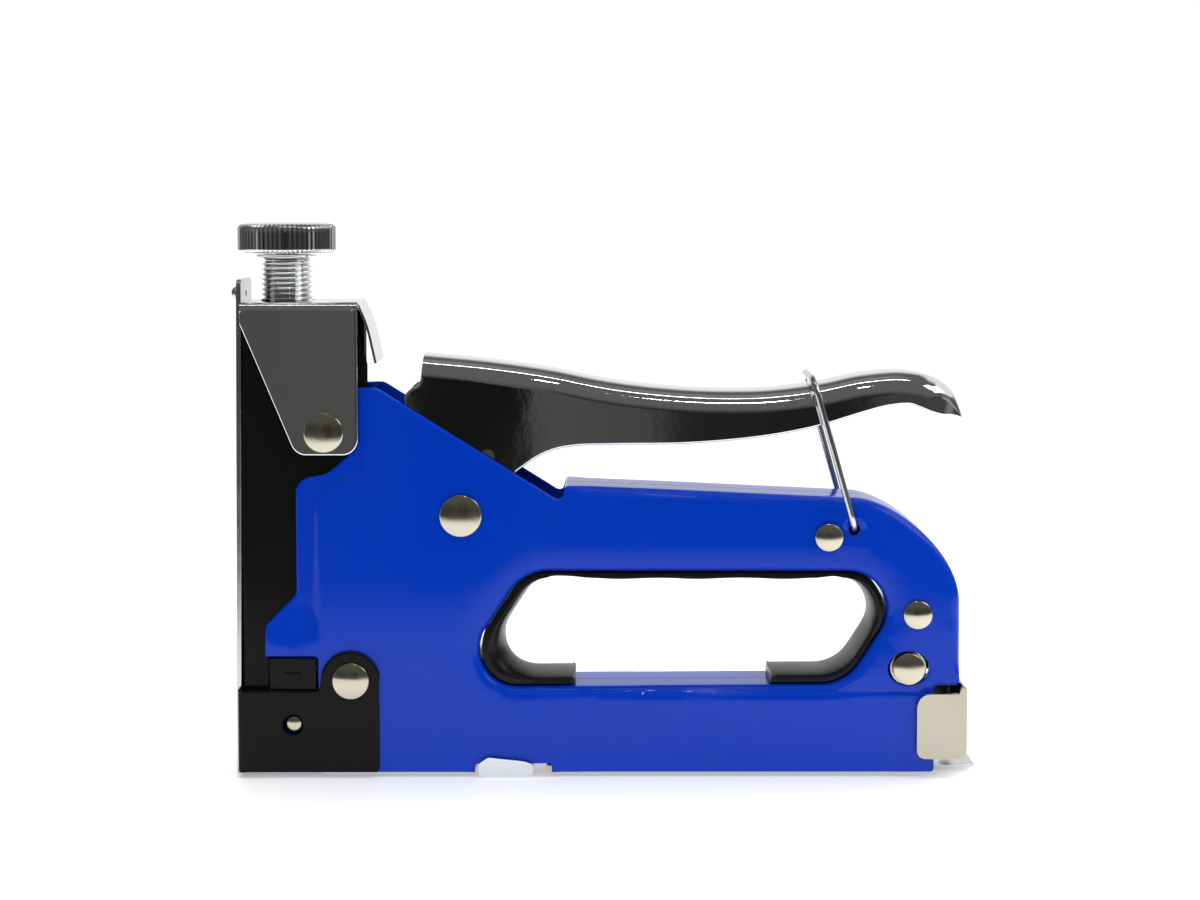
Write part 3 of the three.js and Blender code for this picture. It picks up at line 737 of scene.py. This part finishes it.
# ---------- blue body shells
shell = {
    "face": 10.5, "wall": 1.1, "roll": 2.4, "plainRoll": 0.75, "holeRoll": 1.9, "seam": 0.16,
    "dish": (5.5, 0.5), "crown": (5.0, 0.3), "stepDepth": 0.95, "stepWidth": 0.8,
    "creaseZ": 20.6, "creaseDepth": 0.4, "ledge": 0.5, "ledgeFrom": (20.3, 20.8), "ledgeTo": (20.9, 24.5),
    "handHole": [(-19, 51.3, 11.5), (79.9, 51.3, 10), (61.4, 22.7, 11.5), (-38.3, 22, 9.5)],
    "stepLine": [(-70.6, 10), (-70.6, 68.5, 5), (-59.6, 77.4, 5), (-58, 84.3), (-58, 99), (-95, 99),
                 (-95, 10)],
    "bailHole": (63.3, 61.7, 1.35), "bailDimple": 3.2, "pinHole": (-76.5, 13.1, 3.2),
    "rearHole": (77, 27), "rearHoleSize": (5.15, 4.25),
}


def bezier(a, b, c, d, steps):
    a, b, c, d = (np.array(p, float) for p in (a, b, c, d))
    ts = np.linspace(0, 1, steps + 1)[:, None]
    return (1 - ts) ** 3 * a + 3 * ts * (1 - ts) ** 2 * b + 3 * ts**2 * (1 - ts) * c + ts**3 * d


def shellOutline():
    rear = [tuple(p) for p in bezier((64, 69.6), (74, 68.8), (89.2, 56), (89.8, 44), 40)]
    return arcCorners([
        (-74, 97.2), (-55.3, 97.2, 3), (-10.9, 69.5, 0.8), (-9.5, 69.5, 0.8), (-8.6, 72.8, 0.9),
        (14, 71.9, 20), *rear, (89.8, 22.7, 0.8), (83.6, 22.7, 0.8), (83.6, 0.7, 0.8),
        (-12.1, 0.7, 0.4), (-12.1, 3, 0.8), (-31.2, 3, 0.8), (-31.2, 0.7, 0.4),
        (-83.5, 0.7), (-83.5, 21.1), (-70.4, 21.1, 0.9), (-70.4, 29.9, 0.9),
        (-83.5, 29.9), (-83.5, 37.6, 2.5), (-75.7, 45.5, 3.5), (-75.7, 74.2, 4.2),
        (-67.6, 75.9, 4), (-62.6, 80.2), (-65, 82.5), (-74, 82.5),
    ])


def buildShell(side, name, node):
    outline = shellOutline()
    rearHole = np.array(shell["rearHole"]) + circleLoop(0, 0, 1) * np.array(shell["rearHoleSize"])
    holes = [arcCorners(shell["handHole"]), circleLoop(*shell["bailHole"], 24), rearHole,
             circleLoop(*shell["pinHole"])]
    step = arcCorners(shell["stepLine"], 0.5, 2.0)
    gripEdge = outline[(outline[:, 1] > 40) & (outline[:, 0] > -8.5)]
    bailX, bailZ, bailR = shell["bailHole"]

    def drop(p):
        signed = np.where(inLoop(p, step), 1, -1) * toLine(p, step)
        fade = smooth(p[:, 1], 33, 42)
        low = shell["stepDepth"] * fade * smooth(signed, -shell["stepWidth"], shell["stepWidth"])
        crease = smooth(p[:, 0], -20, 8) * np.clip((shell["creaseZ"] - p[:, 1]) / 20, 0, 1)
        ledge = shell["ledge"] * smooth(p[:, 0], 5, 14) * (1 - smooth(p[:, 1], *shell["ledgeTo"]))
        ledge *= smooth(p[:, 1], *shell["ledgeFrom"])
        away = np.hypot(p[:, 0] - bailX, p[:, 1] - bailZ)
        dimple = 0.75 * (1 - smooth(away, bailR, shell["bailDimple"]))
        reach, depth = shell["dish"]
        dish = depth * np.clip(1 - toLine(p, holes[0]) / reach, 0, 1) ** 1.5
        reach, depth = shell["crown"]
        crown = depth * np.clip(1 - toLine(p, gripEdge, False) / reach, 0, 1) ** 2
        return low + shell["creaseDepth"] * crease + ledge + dimple + dish + crown

    def edge(p, isHole):
        radius = np.full(len(p), shell["plainRoll"])
        wallTo = np.full(len(p), np.nan)
        if isHole:
            big = np.ptp(p[:, 0]) > 20
            radius[:] = shell["holeRoll"] if big else 0.35
            wallTo[:] = shell["seam"] if big else shell["face"] - 2.2
            return radius, wallTo
        rolled = (p[:, 1] > 23.3) & (p[:, 0] > -8.9) & (p[:, 1] > 40 - (p[:, 0] > 80) * 30)
        grip = rolled & ((p[:, 1] > 60) | (p[:, 0] > 70))
        ease = np.minimum(smooth(p[:, 0], -9, -2), smooth(p[:, 1], 23, 30))
        radius = np.where(grip, shell["plainRoll"] + (shell["roll"] - shell["plainRoll"]) * ease, radius)
        wallTo = np.where(grip, shell["seam"], wallTo)
        slot = np.hypot(p[:, 0] + 12.1, p[:, 1] - 1.5) < 1.6
        slot |= (p[:, 1] < 3.4) & (p[:, 0] > -32) & (p[:, 0] < -11.5)
        radius = np.where(slot, 0.25, radius)
        return radius, wallTo

    bm = bmesh.new()
    fine = [((-73, 60), (-55, 86), 0.8), ((-72.5, 30), (-68.5, 72), 0.8), ((59, 57), (68, 66), 0.7),
            ((0, 20.05), (82, 21.2), 0.23), ((0, 21.5), (82, 24.6), 0.9),
            ((0, 17.6), (82, 19.7), 0.9)]
    pressedHalf(bm, side, outline, holes, shell["face"], edge, drop, 3.0, fine)
    piece = pieceFrom(name, bm, "bluePaint", "gun_body", node, angle=50)
    thicken(piece, shell["wall"])


buildShell(-1, "bodyShellNear", "body_shell_left")
buildShell(1, "bodyShellFar", "body_shell_right")
print("body shells made")


# ---------- chromed lever
lever = {
    "face": 8.8, "wall": 1.4, "bend": 5.4, "edge": 0.45, "pivot": (-34.6, 65.4), "boss": 9.0,
    "tip": (90.4, 89.6), "taper": 3.6, "taperFrom": 80, "taperTo": 92,
    "front": [(-48.9, 94.2), (-48.2, 95.6), (-46.9, 96.9), (-45.4, 97.6), (-44.75, 98.5), (-44.5, 99.5)],
    "top": [(-43.9, 105.2), (-28, 103.7), (-12.4, 101.5), (0, 99), (11.4, 97.4), (24, 96.4),
            (35.7, 96.2), (45, 96.7), (55.2, 98.1), (64, 100), (72, 100.9), (76, 100.9), (81.1, 100.1),
            (85.2, 98.5), (88, 96), (89.4, 93), (90.4, 89.6)],
    "under": [(90, 89.5), (87.4, 89.9), (85.2, 90.1), (82.2, 91), (79.3, 92.2), (76.4, 93), (71, 92.4),
              (64.5, 90.6), (55, 87.7), (44.6, 85.5), (33, 84), (19.9, 83.1), (4, 82.9), (-7.1, 82.5),
              (-14.3, 80.5), (-20.7, 76.2)],
}


def buildLever():
    top = splinePoints(lever["top"], 5)
    under = splinePoints(lever["under"], 5)
    bossX, bossZ = lever["pivot"]
    turn = np.radians(np.arange(-15, -196, -9))
    boss = np.stack([bossX + lever["boss"] * np.cos(turn), bossZ + lever["boss"] * np.sin(turn)], 1)
    front = splinePoints(lever["front"], 4)
    loop = walledLoop(top[:-1], dense(np.vstack([top[-1:], under, boss, front]), 1.0))

    def edge(p, isHole):
        near = toLine(p, top, False) < 0.02
        tip = np.hypot(*(p - lever["tip"]).T)  # both rolls shrink towards the pointed tail
        bend, lip = np.minimum(lever["bend"], 0.15 + 0.42 * tip), np.minimum(lever["edge"], 0.1 + 0.2 * tip)
        radius = np.where(near, bend, lip)
        return radius, np.where(near, 0.0, np.nan)

    def drop(p):
        return lever["taper"] * smooth(p[:, 0], lever["taperFrom"], lever["taperTo"]) ** 1.3

    bm = bmesh.new()
    for side in (-1, 1):
        pressedHalf(bm, side, loop, [], lever["face"], edge, drop, 3.0)
    piece = pieceFrom("leverHandle", bm, "chromePlate", "lever_body", "lever", angle=60)
    thicken(piece, lever["wall"])


buildLever()
print("lever made")


# ---------- cap bracket, nose channel and boot plates
cap = {
    "face": 11.0, "wall": 1.1, "bend": 2.2, "edge": 0.42, "top": 118.5, "hole": 6.75, "screwX": -78.6,
    "flapHalf": 9.2, "flapWall": 0.65,
    "side": [(-89, 116.2), (-89, 113), (-75.4, 80.4, 4), (-59.9, 80.4, 4), (-59.9, 116.2)],
    "flap": [(-62.2, 118.15), (-60.1, 118.15, 2.6), (-57.6, 112.5, 6), (-55.6, 103.2)],
}


def bentStrip(bm, corners, halfWidth, thickness, step=0.4):
    path = []
    for i, corner in enumerate(corners):
        if len(corner) == 2:
            path.append(np.array(corner, float))
            continue
        here = np.array(corner[:2], float)
        back = np.array(corners[i - 1][:2], float) - here
        ahead = np.array(corners[i + 1][:2], float) - here
        reach = min(corner[2], np.linalg.norm(back) * 0.49, np.linalg.norm(ahead) * 0.49)
        a, b = here + back / np.linalg.norm(back) * reach, here + ahead / np.linalg.norm(ahead) * reach
        for t in np.linspace(0, 1, 9):
            path.append((1 - t) ** 2 * a + 2 * t * (1 - t) * here + t * t * b)
    path = np.array(path)
    along = np.gradient(path, axis=0)
    along /= np.linalg.norm(along, axis=1)[:, None]
    normal = np.stack([-along[:, 1], along[:, 0]], 1) * thickness / 2
    ring = np.vstack([path + normal, (path - normal)[::-1]])
    rows = []
    for y in (-halfWidth, halfWidth):
        rows.append([bm.verts.new(((p[0] + datumX) * mm, y * mm, p[1] * mm)) for p in ring])
    count = len(ring)
    for i in range(count):
        j = (i + 1) % count
        bm.faces.new([rows[0][i], rows[0][j], rows[1][j], rows[1][i]])
    half = len(path)
    for row in rows:
        for i in range(half - 1):
            bm.faces.new([row[i], row[i + 1], row[count - 2 - i], row[count - 1 - i]])
    bmesh.ops.recalc_face_normals(bm, faces=bm.faces)


def buildCap():
    top = [(cap["side"][-1][0], cap["top"]), (cap["side"][0][0], cap["top"])]
    loop = walledLoop(top, arcCorners(cap["side"], 0.3, 1.0, closed=False))

    def edge(p, isHole):
        topEdge = p[:, 1] > cap["top"] - 0.02
        return np.where(topEdge, cap["bend"], cap["edge"]), np.where(topEdge, 0.0, np.nan)

    bm = bmesh.new()
    for side in (-1, 1):
        pressedHalf(bm, side, loop, [], cap["face"], edge, None, 4.0)
    piece = pieceFrom("capBracket", bm, "chromePlate", "gun_body", "cap_bracket", angle=60)
    thicken(piece, cap["wall"], 0.12)
    carve(piece, [drum(cap["screwX"], 0, cap["top"], cap["hole"], 8, "z")])

    bm = bmesh.new()
    bentStrip(bm, cap["flap"], cap["flapHalf"], cap["flapWall"])
    flap = pieceFrom("capFlap", bm, "chromePlate", "gun_body", angle=40)
    breakEdges(flap, 0.12, 2, 50)
    applyModifiers(flap)
    steadyNormals(flap, 40)


nose = {
    "face": 8.2, "wall": 1.15, "bend": 1.3, "front": -89.6, "farRear": -60.3,
    "side": [(-88.2, 1), (-70, 1), (-70, 21), (-82.8, 21, 0.6), (-82.8, 30, 0.6), (-70, 30), (-70, 52),
             (-57.7, 56), (-57.7, 103), (-61.2, 116.4), (-88.2, 116.4)],
}


def buildNose():
    loop = walledLoop([(nose["front"], 116.4), (nose["front"], 1)],
                      arcCorners(nose["side"], 0.3, 2.0, closed=False), 2.0)

    def edge(p, isHole):
        front = p[:, 0] < nose["front"] + 0.02
        return np.where(front, nose["bend"], 0.25), np.where(front, 0.0, np.nan)

    bm = bmesh.new()
    for side in (-1, 1):
        rear = nose["farRear"] if side > 0 else 0
        pressedHalf(bm, side, np.minimum(loop, [rear, np.inf]), [], nose["face"], edge, None, 4.0)
    piece = pieceFrom("noseChannel", bm, "blackPaint", "gun_body", "nose_channel", angle=60)
    thicken(piece, nose["wall"])


boot = {
    "face": 11.7, "wall": 0.9, "edge": 0.45, "frontBend": 1.6, "frontX": -90.4, "returnTo": 8.9,
    "pin": (-76.5, 13.1, 2.6), "hump": (-62.2, 24.2, 7.35),
}


def bootOutline():
    x, z, r = boot["hump"]
    turn = np.radians(np.arange(10, 171, 8))
    hump = [(x + r * math.cos(a), z + r * math.sin(a)) for a in turn]
    front = boot["frontX"]
    inner = front + boot["frontBend"] + 0.1
    rest = [(inner, 1), (-55.1, 1, 0.6), (-55.1, 23), *hump, (-69.8, 21.6, 1.2), (inner, 21.6)]
    rest = arcCorners(rest, 0.3, 1.0, closed=False)
    return walledLoop([(front, 21.6), (front, 1)], rest)


def buildBoots():
    def edge(p, isHole):
        if isHole:
            return np.full(len(p), 0.3), np.full(len(p), np.nan)
        front = p[:, 0] < boot["frontX"] + 0.02
        return np.where(front, boot["frontBend"], boot["edge"]), np.where(front, boot["returnTo"], np.nan)

    plates = ((-1, "bootPlateNear", "boot_plate_left"), (1, "bootPlateFar", "boot_plate_right"))
    for side, name, node in plates:
        bm = bmesh.new()
        pressedHalf(bm, side, bootOutline(), [circleLoop(*boot["pin"])], boot["face"], edge, None, 2.0)
        piece = pieceFrom(name, bm, "blackPaint", "gun_body", node, angle=60)
        thicken(piece, boot["wall"])


buildCap()
buildNose()
buildBoots()
print("cap, nose and boot plates made")


# ---------- turned pieces: a profile swept round an axis, with flutes or a thread where asked
# what every geometry tree ends with: real geometry in the piece's own finish
def finishTree(tree, geometry, material, result):
    real = tree.nodes.new("GeometryNodeRealizeInstances")
    paint = tree.nodes.new("GeometryNodeSetMaterial")
    tree.links.new(geometry, real.inputs["Geometry"])
    tree.links.new(real.outputs[0], paint.inputs["Geometry"])
    tree.links.new(material, paint.inputs["Material"])
    tree.links.new(paint.outputs[0], result[0])


def turnedTree():
    tree, ids, given, result = newGroup("turnedPiece", "GeometryNodeTree", [
        ("Geometry", "Geometry", None), ("Rows", "Int", 8), ("Steps", "Int", 64), ("Flutes", "Float", 0.0),
        ("Flute Depth", "Float", 0.0), ("Thread Pitch", "Float", 0.001), ("Thread Depth", "Float", 0.0),
        ("Material", "Material", None),
    ], ("Geometry", "Geometry"))
    nodes, links = tree.nodes, tree.links

    def calc(operation, *values):
        return mathNode(tree, operation, *values)

    grid = nodes.new("GeometryNodeMeshGrid")
    links.new(calc("ADD", given["Steps"], 1), grid.inputs["Vertices X"])
    links.new(given["Rows"], grid.inputs["Vertices Y"])
    index = nodes.new("GeometryNodeInputIndex").outputs[0]
    row = calc("MODULO", index, given["Rows"])
    column = calc("FLOOR", calc("DIVIDE", calc("ADD", index, 0.25), given["Rows"]))
    turn = calc("DIVIDE", column, given["Steps"])
    angle = calc("MULTIPLY", turn, 2 * math.pi)

    def sampled(kind, source):
        node = nodes.new("GeometryNodeSampleIndex")
        node.data_type = kind
        links.new(given["Geometry"], node.inputs["Geometry"])
        links.new(source, node.inputs["Value"])
        links.new(row, node.inputs["Index"])
        return node.outputs["Value"]

    def named(label):
        node = nodes.new("GeometryNodeInputNamedAttribute")
        node.data_type = "FLOAT"
        node.inputs["Name"].default_value = label
        return sampled("FLOAT", node.outputs["Attribute"])

    split = nodes.new("ShaderNodeSeparateXYZ")
    links.new(sampled("FLOAT_VECTOR", nodes.new("GeometryNodeInputPosition").outputs[0]), split.inputs[0])
    radius, height = split.outputs["X"], split.outputs["Z"]
    flutePlace = calc("PINGPONG", calc("MULTIPLY", turn, given["Flutes"]), 0.5)
    groove = rangeNode(tree, flutePlace, 0, 0.3, 1, 0)
    fluteCut = calc("MULTIPLY", calc("MULTIPLY", groove, given["Flute Depth"]), named("flute"))
    along = calc("SUBTRACT", calc("DIVIDE", height, given["Thread Pitch"]), turn)
    valley = calc("SUBTRACT", 1, calc("MULTIPLY", calc("PINGPONG", along, 0.5), 2))
    threadCut = calc("MULTIPLY", rangeNode(tree, valley, 0, 1), given["Thread Depth"])
    threadCut = calc("MULTIPLY", threadCut, named("thread"))
    radius = calc("SUBTRACT", calc("SUBTRACT", radius, fluteCut), threadCut)
    join = nodes.new("ShaderNodeCombineXYZ")
    links.new(calc("MULTIPLY", radius, calc("COSINE", angle)), join.inputs["X"])
    links.new(calc("MULTIPLY", radius, calc("SINE", angle)), join.inputs["Y"])
    links.new(height, join.inputs["Z"])
    move = nodes.new("GeometryNodeSetPosition")
    links.new(grid.outputs["Mesh"], move.inputs["Geometry"])
    links.new(join.outputs[0], move.inputs["Position"])
    merge = nodes.new("GeometryNodeMergeByDistance")
    merge.inputs["Distance"].default_value = weldDistance
    links.new(move.outputs[0], merge.inputs["Geometry"])
    finishTree(tree, merge.outputs[0], given["Material"], result)
    return tree, ids


turnedNodes, turnedIds = turnedTree()


def runTree(name, mesh, tree, ids, values, finish):
    piece = linked(name, mesh)
    modifier = piece.modifiers.new("shape", "NODES")
    modifier.node_group = tree
    for label, value in {**values, "Material": materials[finish]}.items():
        modifier[ids[label]] = value
    applyModifiers(piece)
    return piece


# profile rows: (radius, height[, flute weight[, thread weight]]) in mm from the axis and the datum
def turned(name, profile, finish, body, nodes, matrix, steps=64, flutes=0.0, fluteDepth=0.0, pitch=1.0,
           threadDepth=0.0, angle=38):
    mesh = bpy.data.meshes.new(name)
    mesh.from_pydata([(p[0] * mm, 0, p[1] * mm) for p in profile], [], [])
    for k, label in enumerate(("flute", "thread")):
        weights = mesh.attributes.new(label, "FLOAT", "POINT")
        weights.data.foreach_set("value", [float(p[2 + k]) if len(p) > 2 + k else 0.0 for p in profile])
    values = {"Rows": len(profile), "Steps": steps, "Flutes": float(flutes), "Flute Depth": fluteDepth * mm,
              "Thread Pitch": pitch * mm, "Thread Depth": threadDepth * mm}
    piece = runTree(name, mesh, turnedNodes, turnedIds, values, finish)
    bm = bmesh.new()
    bm.from_mesh(piece.data)
    bmesh.ops.remove_doubles(bm, verts=bm.verts, dist=weldDistance)
    bm.transform(matrix)
    bmesh.ops.recalc_face_normals(bm, faces=bm.faces)
    bm.to_mesh(piece.data)
    bm.free()
    for label in ("flute", "thread"):
        if label in piece.data.attributes:
            piece.data.attributes.remove(piece.data.attributes[label])
    dress(piece, finish, body, *nodes, angle=angle)
    return piece


def alongY(x, z):
    return Matrix.Translation(((x + datumX) * mm, 0, z * mm)) @ Matrix.Rotation(math.pi / 2, 4, "X")


def upright(x):
    return Matrix.Translation(((x + datumX) * mm, 0, 0))


# ---------- rivets
rivet = {
    "gap": 0.3, "rise": 1.3, "shaft": 2.0, "pivotShaft": 3.0,
    "heads": {
        "pivot": (-34.6, 65.4, 5.25, 10.5), "cap": (-68.4, 86.1, 4.9, 11.0), "boot": (-62, 24.2, 4.55, 11.7),
        "grip": (56.9, 60, 3.5, 10.5), "rearUpper": (79.1, 40.6, 3.6, 10.5), "rearLower": (77, 27, 4.0, 10.5),
    },
    "nodes": {"pivot": "pivot_rivet", "cap": "cap_rivet", "boot": "boot_rivet", "grip": "grip_rivet",
              "rearUpper": "rear_rivet_upper", "rearLower": "rear_rivet_lower"},
}


def buildRivets():
    for label, (x, z, head, face) in rivet["heads"].items():
        shaft = rivet["pivotShaft"] if label == "pivot" else rivet["shaft"]
        low, rise = face + rivet["gap"], rivet["rise"]
        dome = [(head * t, low + 0.42 + (rise - 0.42) * (1 - t * t)) for t in np.linspace(0, 0.93, 12)]
        dome += [(head * 0.975, low + 0.45), (head * 0.995, low + 0.34), (head, low + 0.2),
                 (head - 0.05, low + 0.06), (head - 0.25, low), (shaft, low)]
        profile = [(r, -h) for r, h in dome] + [(r, h) for r, h in dome[::-1]]
        turned(label + "Rivet", profile, "nickelPlate", "gun_body", [rivet["nodes"][label]], alongY(x, z), 72,
               angle=50)


def buildNosePin():
    x, z, radius = -76.4, 13.0, 2.2
    half = [(radius * t, 10.7 - 0.45 * t * t) for t in np.linspace(0, 0.9, 8)]
    half += [(radius, 10.1), (radius, 9.8)]
    profile = [(r, -h) for r, h in half] + [(r, h) for r, h in half[::-1]]
    turned("nosePin", profile, "nickelPlate", "gun_body", ["nose_pin"], alongY(x, z), 48)


buildRivets()
buildNosePin()
print("rivets made")


# ---------- force adjuster: knurled knob and threaded screw
adjuster = {
    "x": -78.6, "radius": 12.2, "low": 130.4, "high": 138.0, "flutes": 62, "fluteDepth": 0.95,
    "screw": 6.4, "pitch": 1.25, "threadDepth": 0.7, "screwLow": 114.6, "collar": 7.6,
}


def buildAdjuster():
    a = adjuster
    r, low, high = a["radius"], a["low"], a["high"]
    side = [(r - 1.3, low + 0.05, 0.2), (r - 0.6, low + 0.2, 1), (r, low + 0.8, 1)]
    side += [(r, z, 1) for z in np.linspace(low + 1.1, high - 1.3, 4)]
    side += [(r - 0.2, high - 0.9, 1), (r - 0.75, high - 0.5, 1), (r - 1.2, high - 0.38, 0.15)]
    knob = [(0.0, low + 3.7), (3.0, low + 3.7), (3.0, low), (r - 2.6, low), *side, (r - 1.6, high - 0.26),
            (r - 2.2, high - 0.1), (r - 3.0, high - 0.02), (r - 4.2, high), (2.0, high), (0.0, high)]
    turned("adjustingKnob", knob, "chromePlate", "knob_body", ["adjusting_knob"], upright(a["x"]), 62 * 10,
           a["flutes"], a["fluteDepth"], angle=50)

    s, top, bottom = a["screw"], low - 0.3, a["screwLow"]
    rows = [(0.0, bottom), (s - 1.4, bottom), (s - 0.3, bottom + 0.7, 0, 0.6)]
    threadTop = top - 1.9
    for z in np.arange(bottom + 0.8, threadTop, a["pitch"] / 12):
        rows.append((s, float(z), 0, 1.0))
    rows += [(s - 0.75, threadTop + 0.1), (s - 0.75, threadTop + 0.4), (s - 0.2, threadTop + 0.65),
             (a["collar"] - 0.25, top - 0.85), (a["collar"], top - 0.6), (a["collar"], top - 0.2),
             (a["collar"] - 0.2, top), (2.7, top), (2.7, low + 3.4), (0.0, low + 3.4)]
    turned("adjustingScrew", rows, "chromePlate", "knob_body", ["adjusting_screw"], upright(a["x"]), 96,
           pitch=a["pitch"], threadDepth=a["threadDepth"], angle=75)


buildAdjuster()
print("adjuster made")


# ---------- wire bail
bail = {
    "wire": 0.8, "bend": 4.5, "legY": 12.8, "endY": 8.4, "pivot": (63.3, 61.7), "top": (52.6, 99.6),
    "sides": 16,
}


def wireTree():
    tree, ids, given, result = newGroup("bentWire", "GeometryNodeTree", [
        ("Geometry", "Geometry", None), ("Bend", "Float", 0.003), ("Wire", "Float", 0.001),
        ("Sides", "Int", 12), ("Material", "Material", None),
    ], ("Geometry", "Geometry"))
    nodes, links = tree.nodes, tree.links
    path = nodes.new("GeometryNodeMeshToCurve")
    links.new(given["Geometry"], path.inputs[0])
    fillet = nodes.new("GeometryNodeFilletCurve")
    if hasattr(fillet, "mode"):
        fillet.mode = "POLY"
    else:
        fillet.inputs["Mode"].default_value = "Poly"
    fillet.inputs["Count"].default_value = 14
    fillet.inputs["Limit Radius"].default_value = True
    links.new(path.outputs[0], fillet.inputs["Curve"])
    links.new(given["Bend"], fillet.inputs["Radius"])
    ring = nodes.new("GeometryNodeCurvePrimitiveCircle")
    links.new(given["Sides"], ring.inputs["Resolution"])
    links.new(given["Wire"], ring.inputs["Radius"])
    sweep = nodes.new("GeometryNodeCurveToMesh")
    sweep.inputs["Fill Caps"].default_value = True
    links.new(fillet.outputs[0], sweep.inputs["Curve"])
    links.new(ring.outputs["Curve"], sweep.inputs["Profile Curve"])
    finishTree(tree, sweep.outputs[0], given["Material"], result)
    return tree, ids


def buildBail():
    (x0, z0), (x1, z1) = bail["pivot"], bail["top"]
    corners = [(x0, -bail["endY"], z0), (x0, -bail["legY"], z0), (x1, -bail["legY"], z1),
               (x1, bail["legY"], z1), (x0, bail["legY"], z0), (x0, bail["endY"], z0)]
    mesh = bpy.data.meshes.new("wirePath")
    mesh.from_pydata([((x + datumX) * mm, y * mm, z * mm) for x, y, z in corners],
                     [(i, i + 1) for i in range(len(corners) - 1)], [])
    tree, ids = wireTree()
    values = {"Bend": bail["bend"] * mm, "Wire": bail["wire"] * mm, "Sides": bail["sides"]}
    piece = runTree("lockingBail", mesh, tree, ids, values, "zincPlate")
    bm = bmesh.new()
    bm.from_mesh(piece.data)
    bmesh.ops.recalc_face_normals(bm, faces=bm.faces)
    bm.to_mesh(piece.data)
    bm.free()
    dress(piece, "zincPlate", "bail_body", "locking_bail", angle=50)


buildBail()
print("bail made")


# ---------- rubber lining of the hand hole
liner = {
    "face": 9.2, "inset": 0.35, "round": 6.3, "groove": 1.3, "grooveDepth": 0.7, "grooveSide": 0.35,
    "bumps": (5.0, 24.5, 46.0), "bumpDepth": 1.3, "bumpWide": 8.0, "openFrom": -6.0, "openTo": 42.3,
    "inside": [(-15.5, 49.8, 9), (75.5, 49.8, 9.8), (60.5, 25.8, 11), (-31.5, 25, 9)],
}


def buildLiner():
    outside = arcCorners(shell["handHole"], 0.5, 0.8)
    along = np.roll(outside, -1, 0) - np.roll(outside, 1, 0)
    along /= np.linalg.norm(along, axis=1)[:, None]
    outside = outside + np.stack([-along[:, 1], along[:, 0]], 1) * liner["inset"]
    inside = arcCorners(liner["inside"], 0.5, 0.8)
    top = inside[:, 1] > 47.5
    hang = sum(np.exp(-((inside[:, 0] - x) / liner["bumpWide"]) ** 2) for x in liner["bumps"])
    inside[:, 1] = np.where(top, inside[:, 1] - liner["bumpDepth"] * np.clip(hang, 0, 1), inside[:, 1])

    def part(loop, reverse):
        gap = (loop[:, 1] < 35) & (loop[:, 0] > liner["openFrom"]) & (loop[:, 0] < liner["openTo"])
        first = int(np.flatnonzero(gap & ~np.roll(gap, -1))[0]) + 1
        keep = np.roll(loop, -first, 0)[~np.roll(gap, -first)]
        return keep[::-1] if reverse else keep

    outer, inner = part(outside, False), part(inside, True)
    loop = np.vstack([outer, inner])
    if signedArea(loop) < 0:
        loop = loop[::-1]
    loop = arcCorners([tuple(p) for p in loop], 0.5, 1.0)

    def edge(p, isHole):
        radius = np.clip((toLine(p, outer, False) - liner["groove"]) * 1.0, 0.3, liner["round"])
        return radius, np.zeros(len(p))

    def drop(p):
        groove = liner["groove"]
        out = smooth(toLine(p, outer, False), groove - liner["grooveSide"], groove)
        return liner["grooveDepth"] * (1 - out)

    bm = bmesh.new()
    for side in (-1, 1):
        pressedHalf(bm, side, loop, [], liner["face"], edge, drop, 2.5, guard=0.05, domed=True)
    pieceFrom("handHoleLiner", bm, "linerRubber", "gun_body", "hand_hole_liner", angle=60)


buildLiner()
print("liner made")


# ---------- smaller sheet and moulded pieces
smallParts = [
    ("frontPlate", "front_plate", "zincPlate", "gun_body", 0.25),
    ("frontPlateScrew", "front_plate_screw", "zincPlate", "gun_body", 0.12),
    ("strikerBumper", "striker_bumper", "blackPlastic", "gun_body", 0.6),
    ("rearSpacer", "rear_spacer", "nickelPlate", "gun_body", 0.3),
    ("selectorSlide", "selector_slide", "chromePlate", "selector_body", 0.3),
    ("drawerLatch", "drawer_latch", "latchPlate", "latch_body", 0.35),
    ("magazineDrawer", "magazine_drawer", "zincPlate", "drawer_body", 0.15),
]
plateLean = 0.008  # the strike plate leans back this much for each unit of height
spacerNarrow = 0.955  # the spacer's ends stand a little inside the shells' faces


def buildSmallParts():
    for row in smallParts:
        piece = softEdged(*row)
        for point in piece.data.vertices:
            if row[0] == "rearSpacer":
                point.co.y *= spacerNarrow
            elif row[0] == "frontPlate":
                point.co.x += plateLean * point.co.z


buildSmallParts()
print("small parts made")


# ---------- springs: the CAD coils in spring steel, each carried by its body
springs = {  # node, body, joint, axis, fixed end in metres
    "mainSpring": ("main_spring", "seat_body", "striker_lift", 2, 0.112),
    "pusherSpring": ("pusher_spring", "drawer_body", "pusher_travel", 0, 0.0595),
}


def buildSprings():
    for name, (node, body, joint, axis, fixed) in springs.items():
        piece = linked(name, meshFrom(name, copyOf(node)))
        dress(piece, "springSteel", body, node)
        points = np.array([point.co for point in piece.data.vertices])
        centre = [float(v) for v in points.mean(0)]
        centre[axis] = fixed
        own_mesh(piece)


buildSprings()
print("springs made")
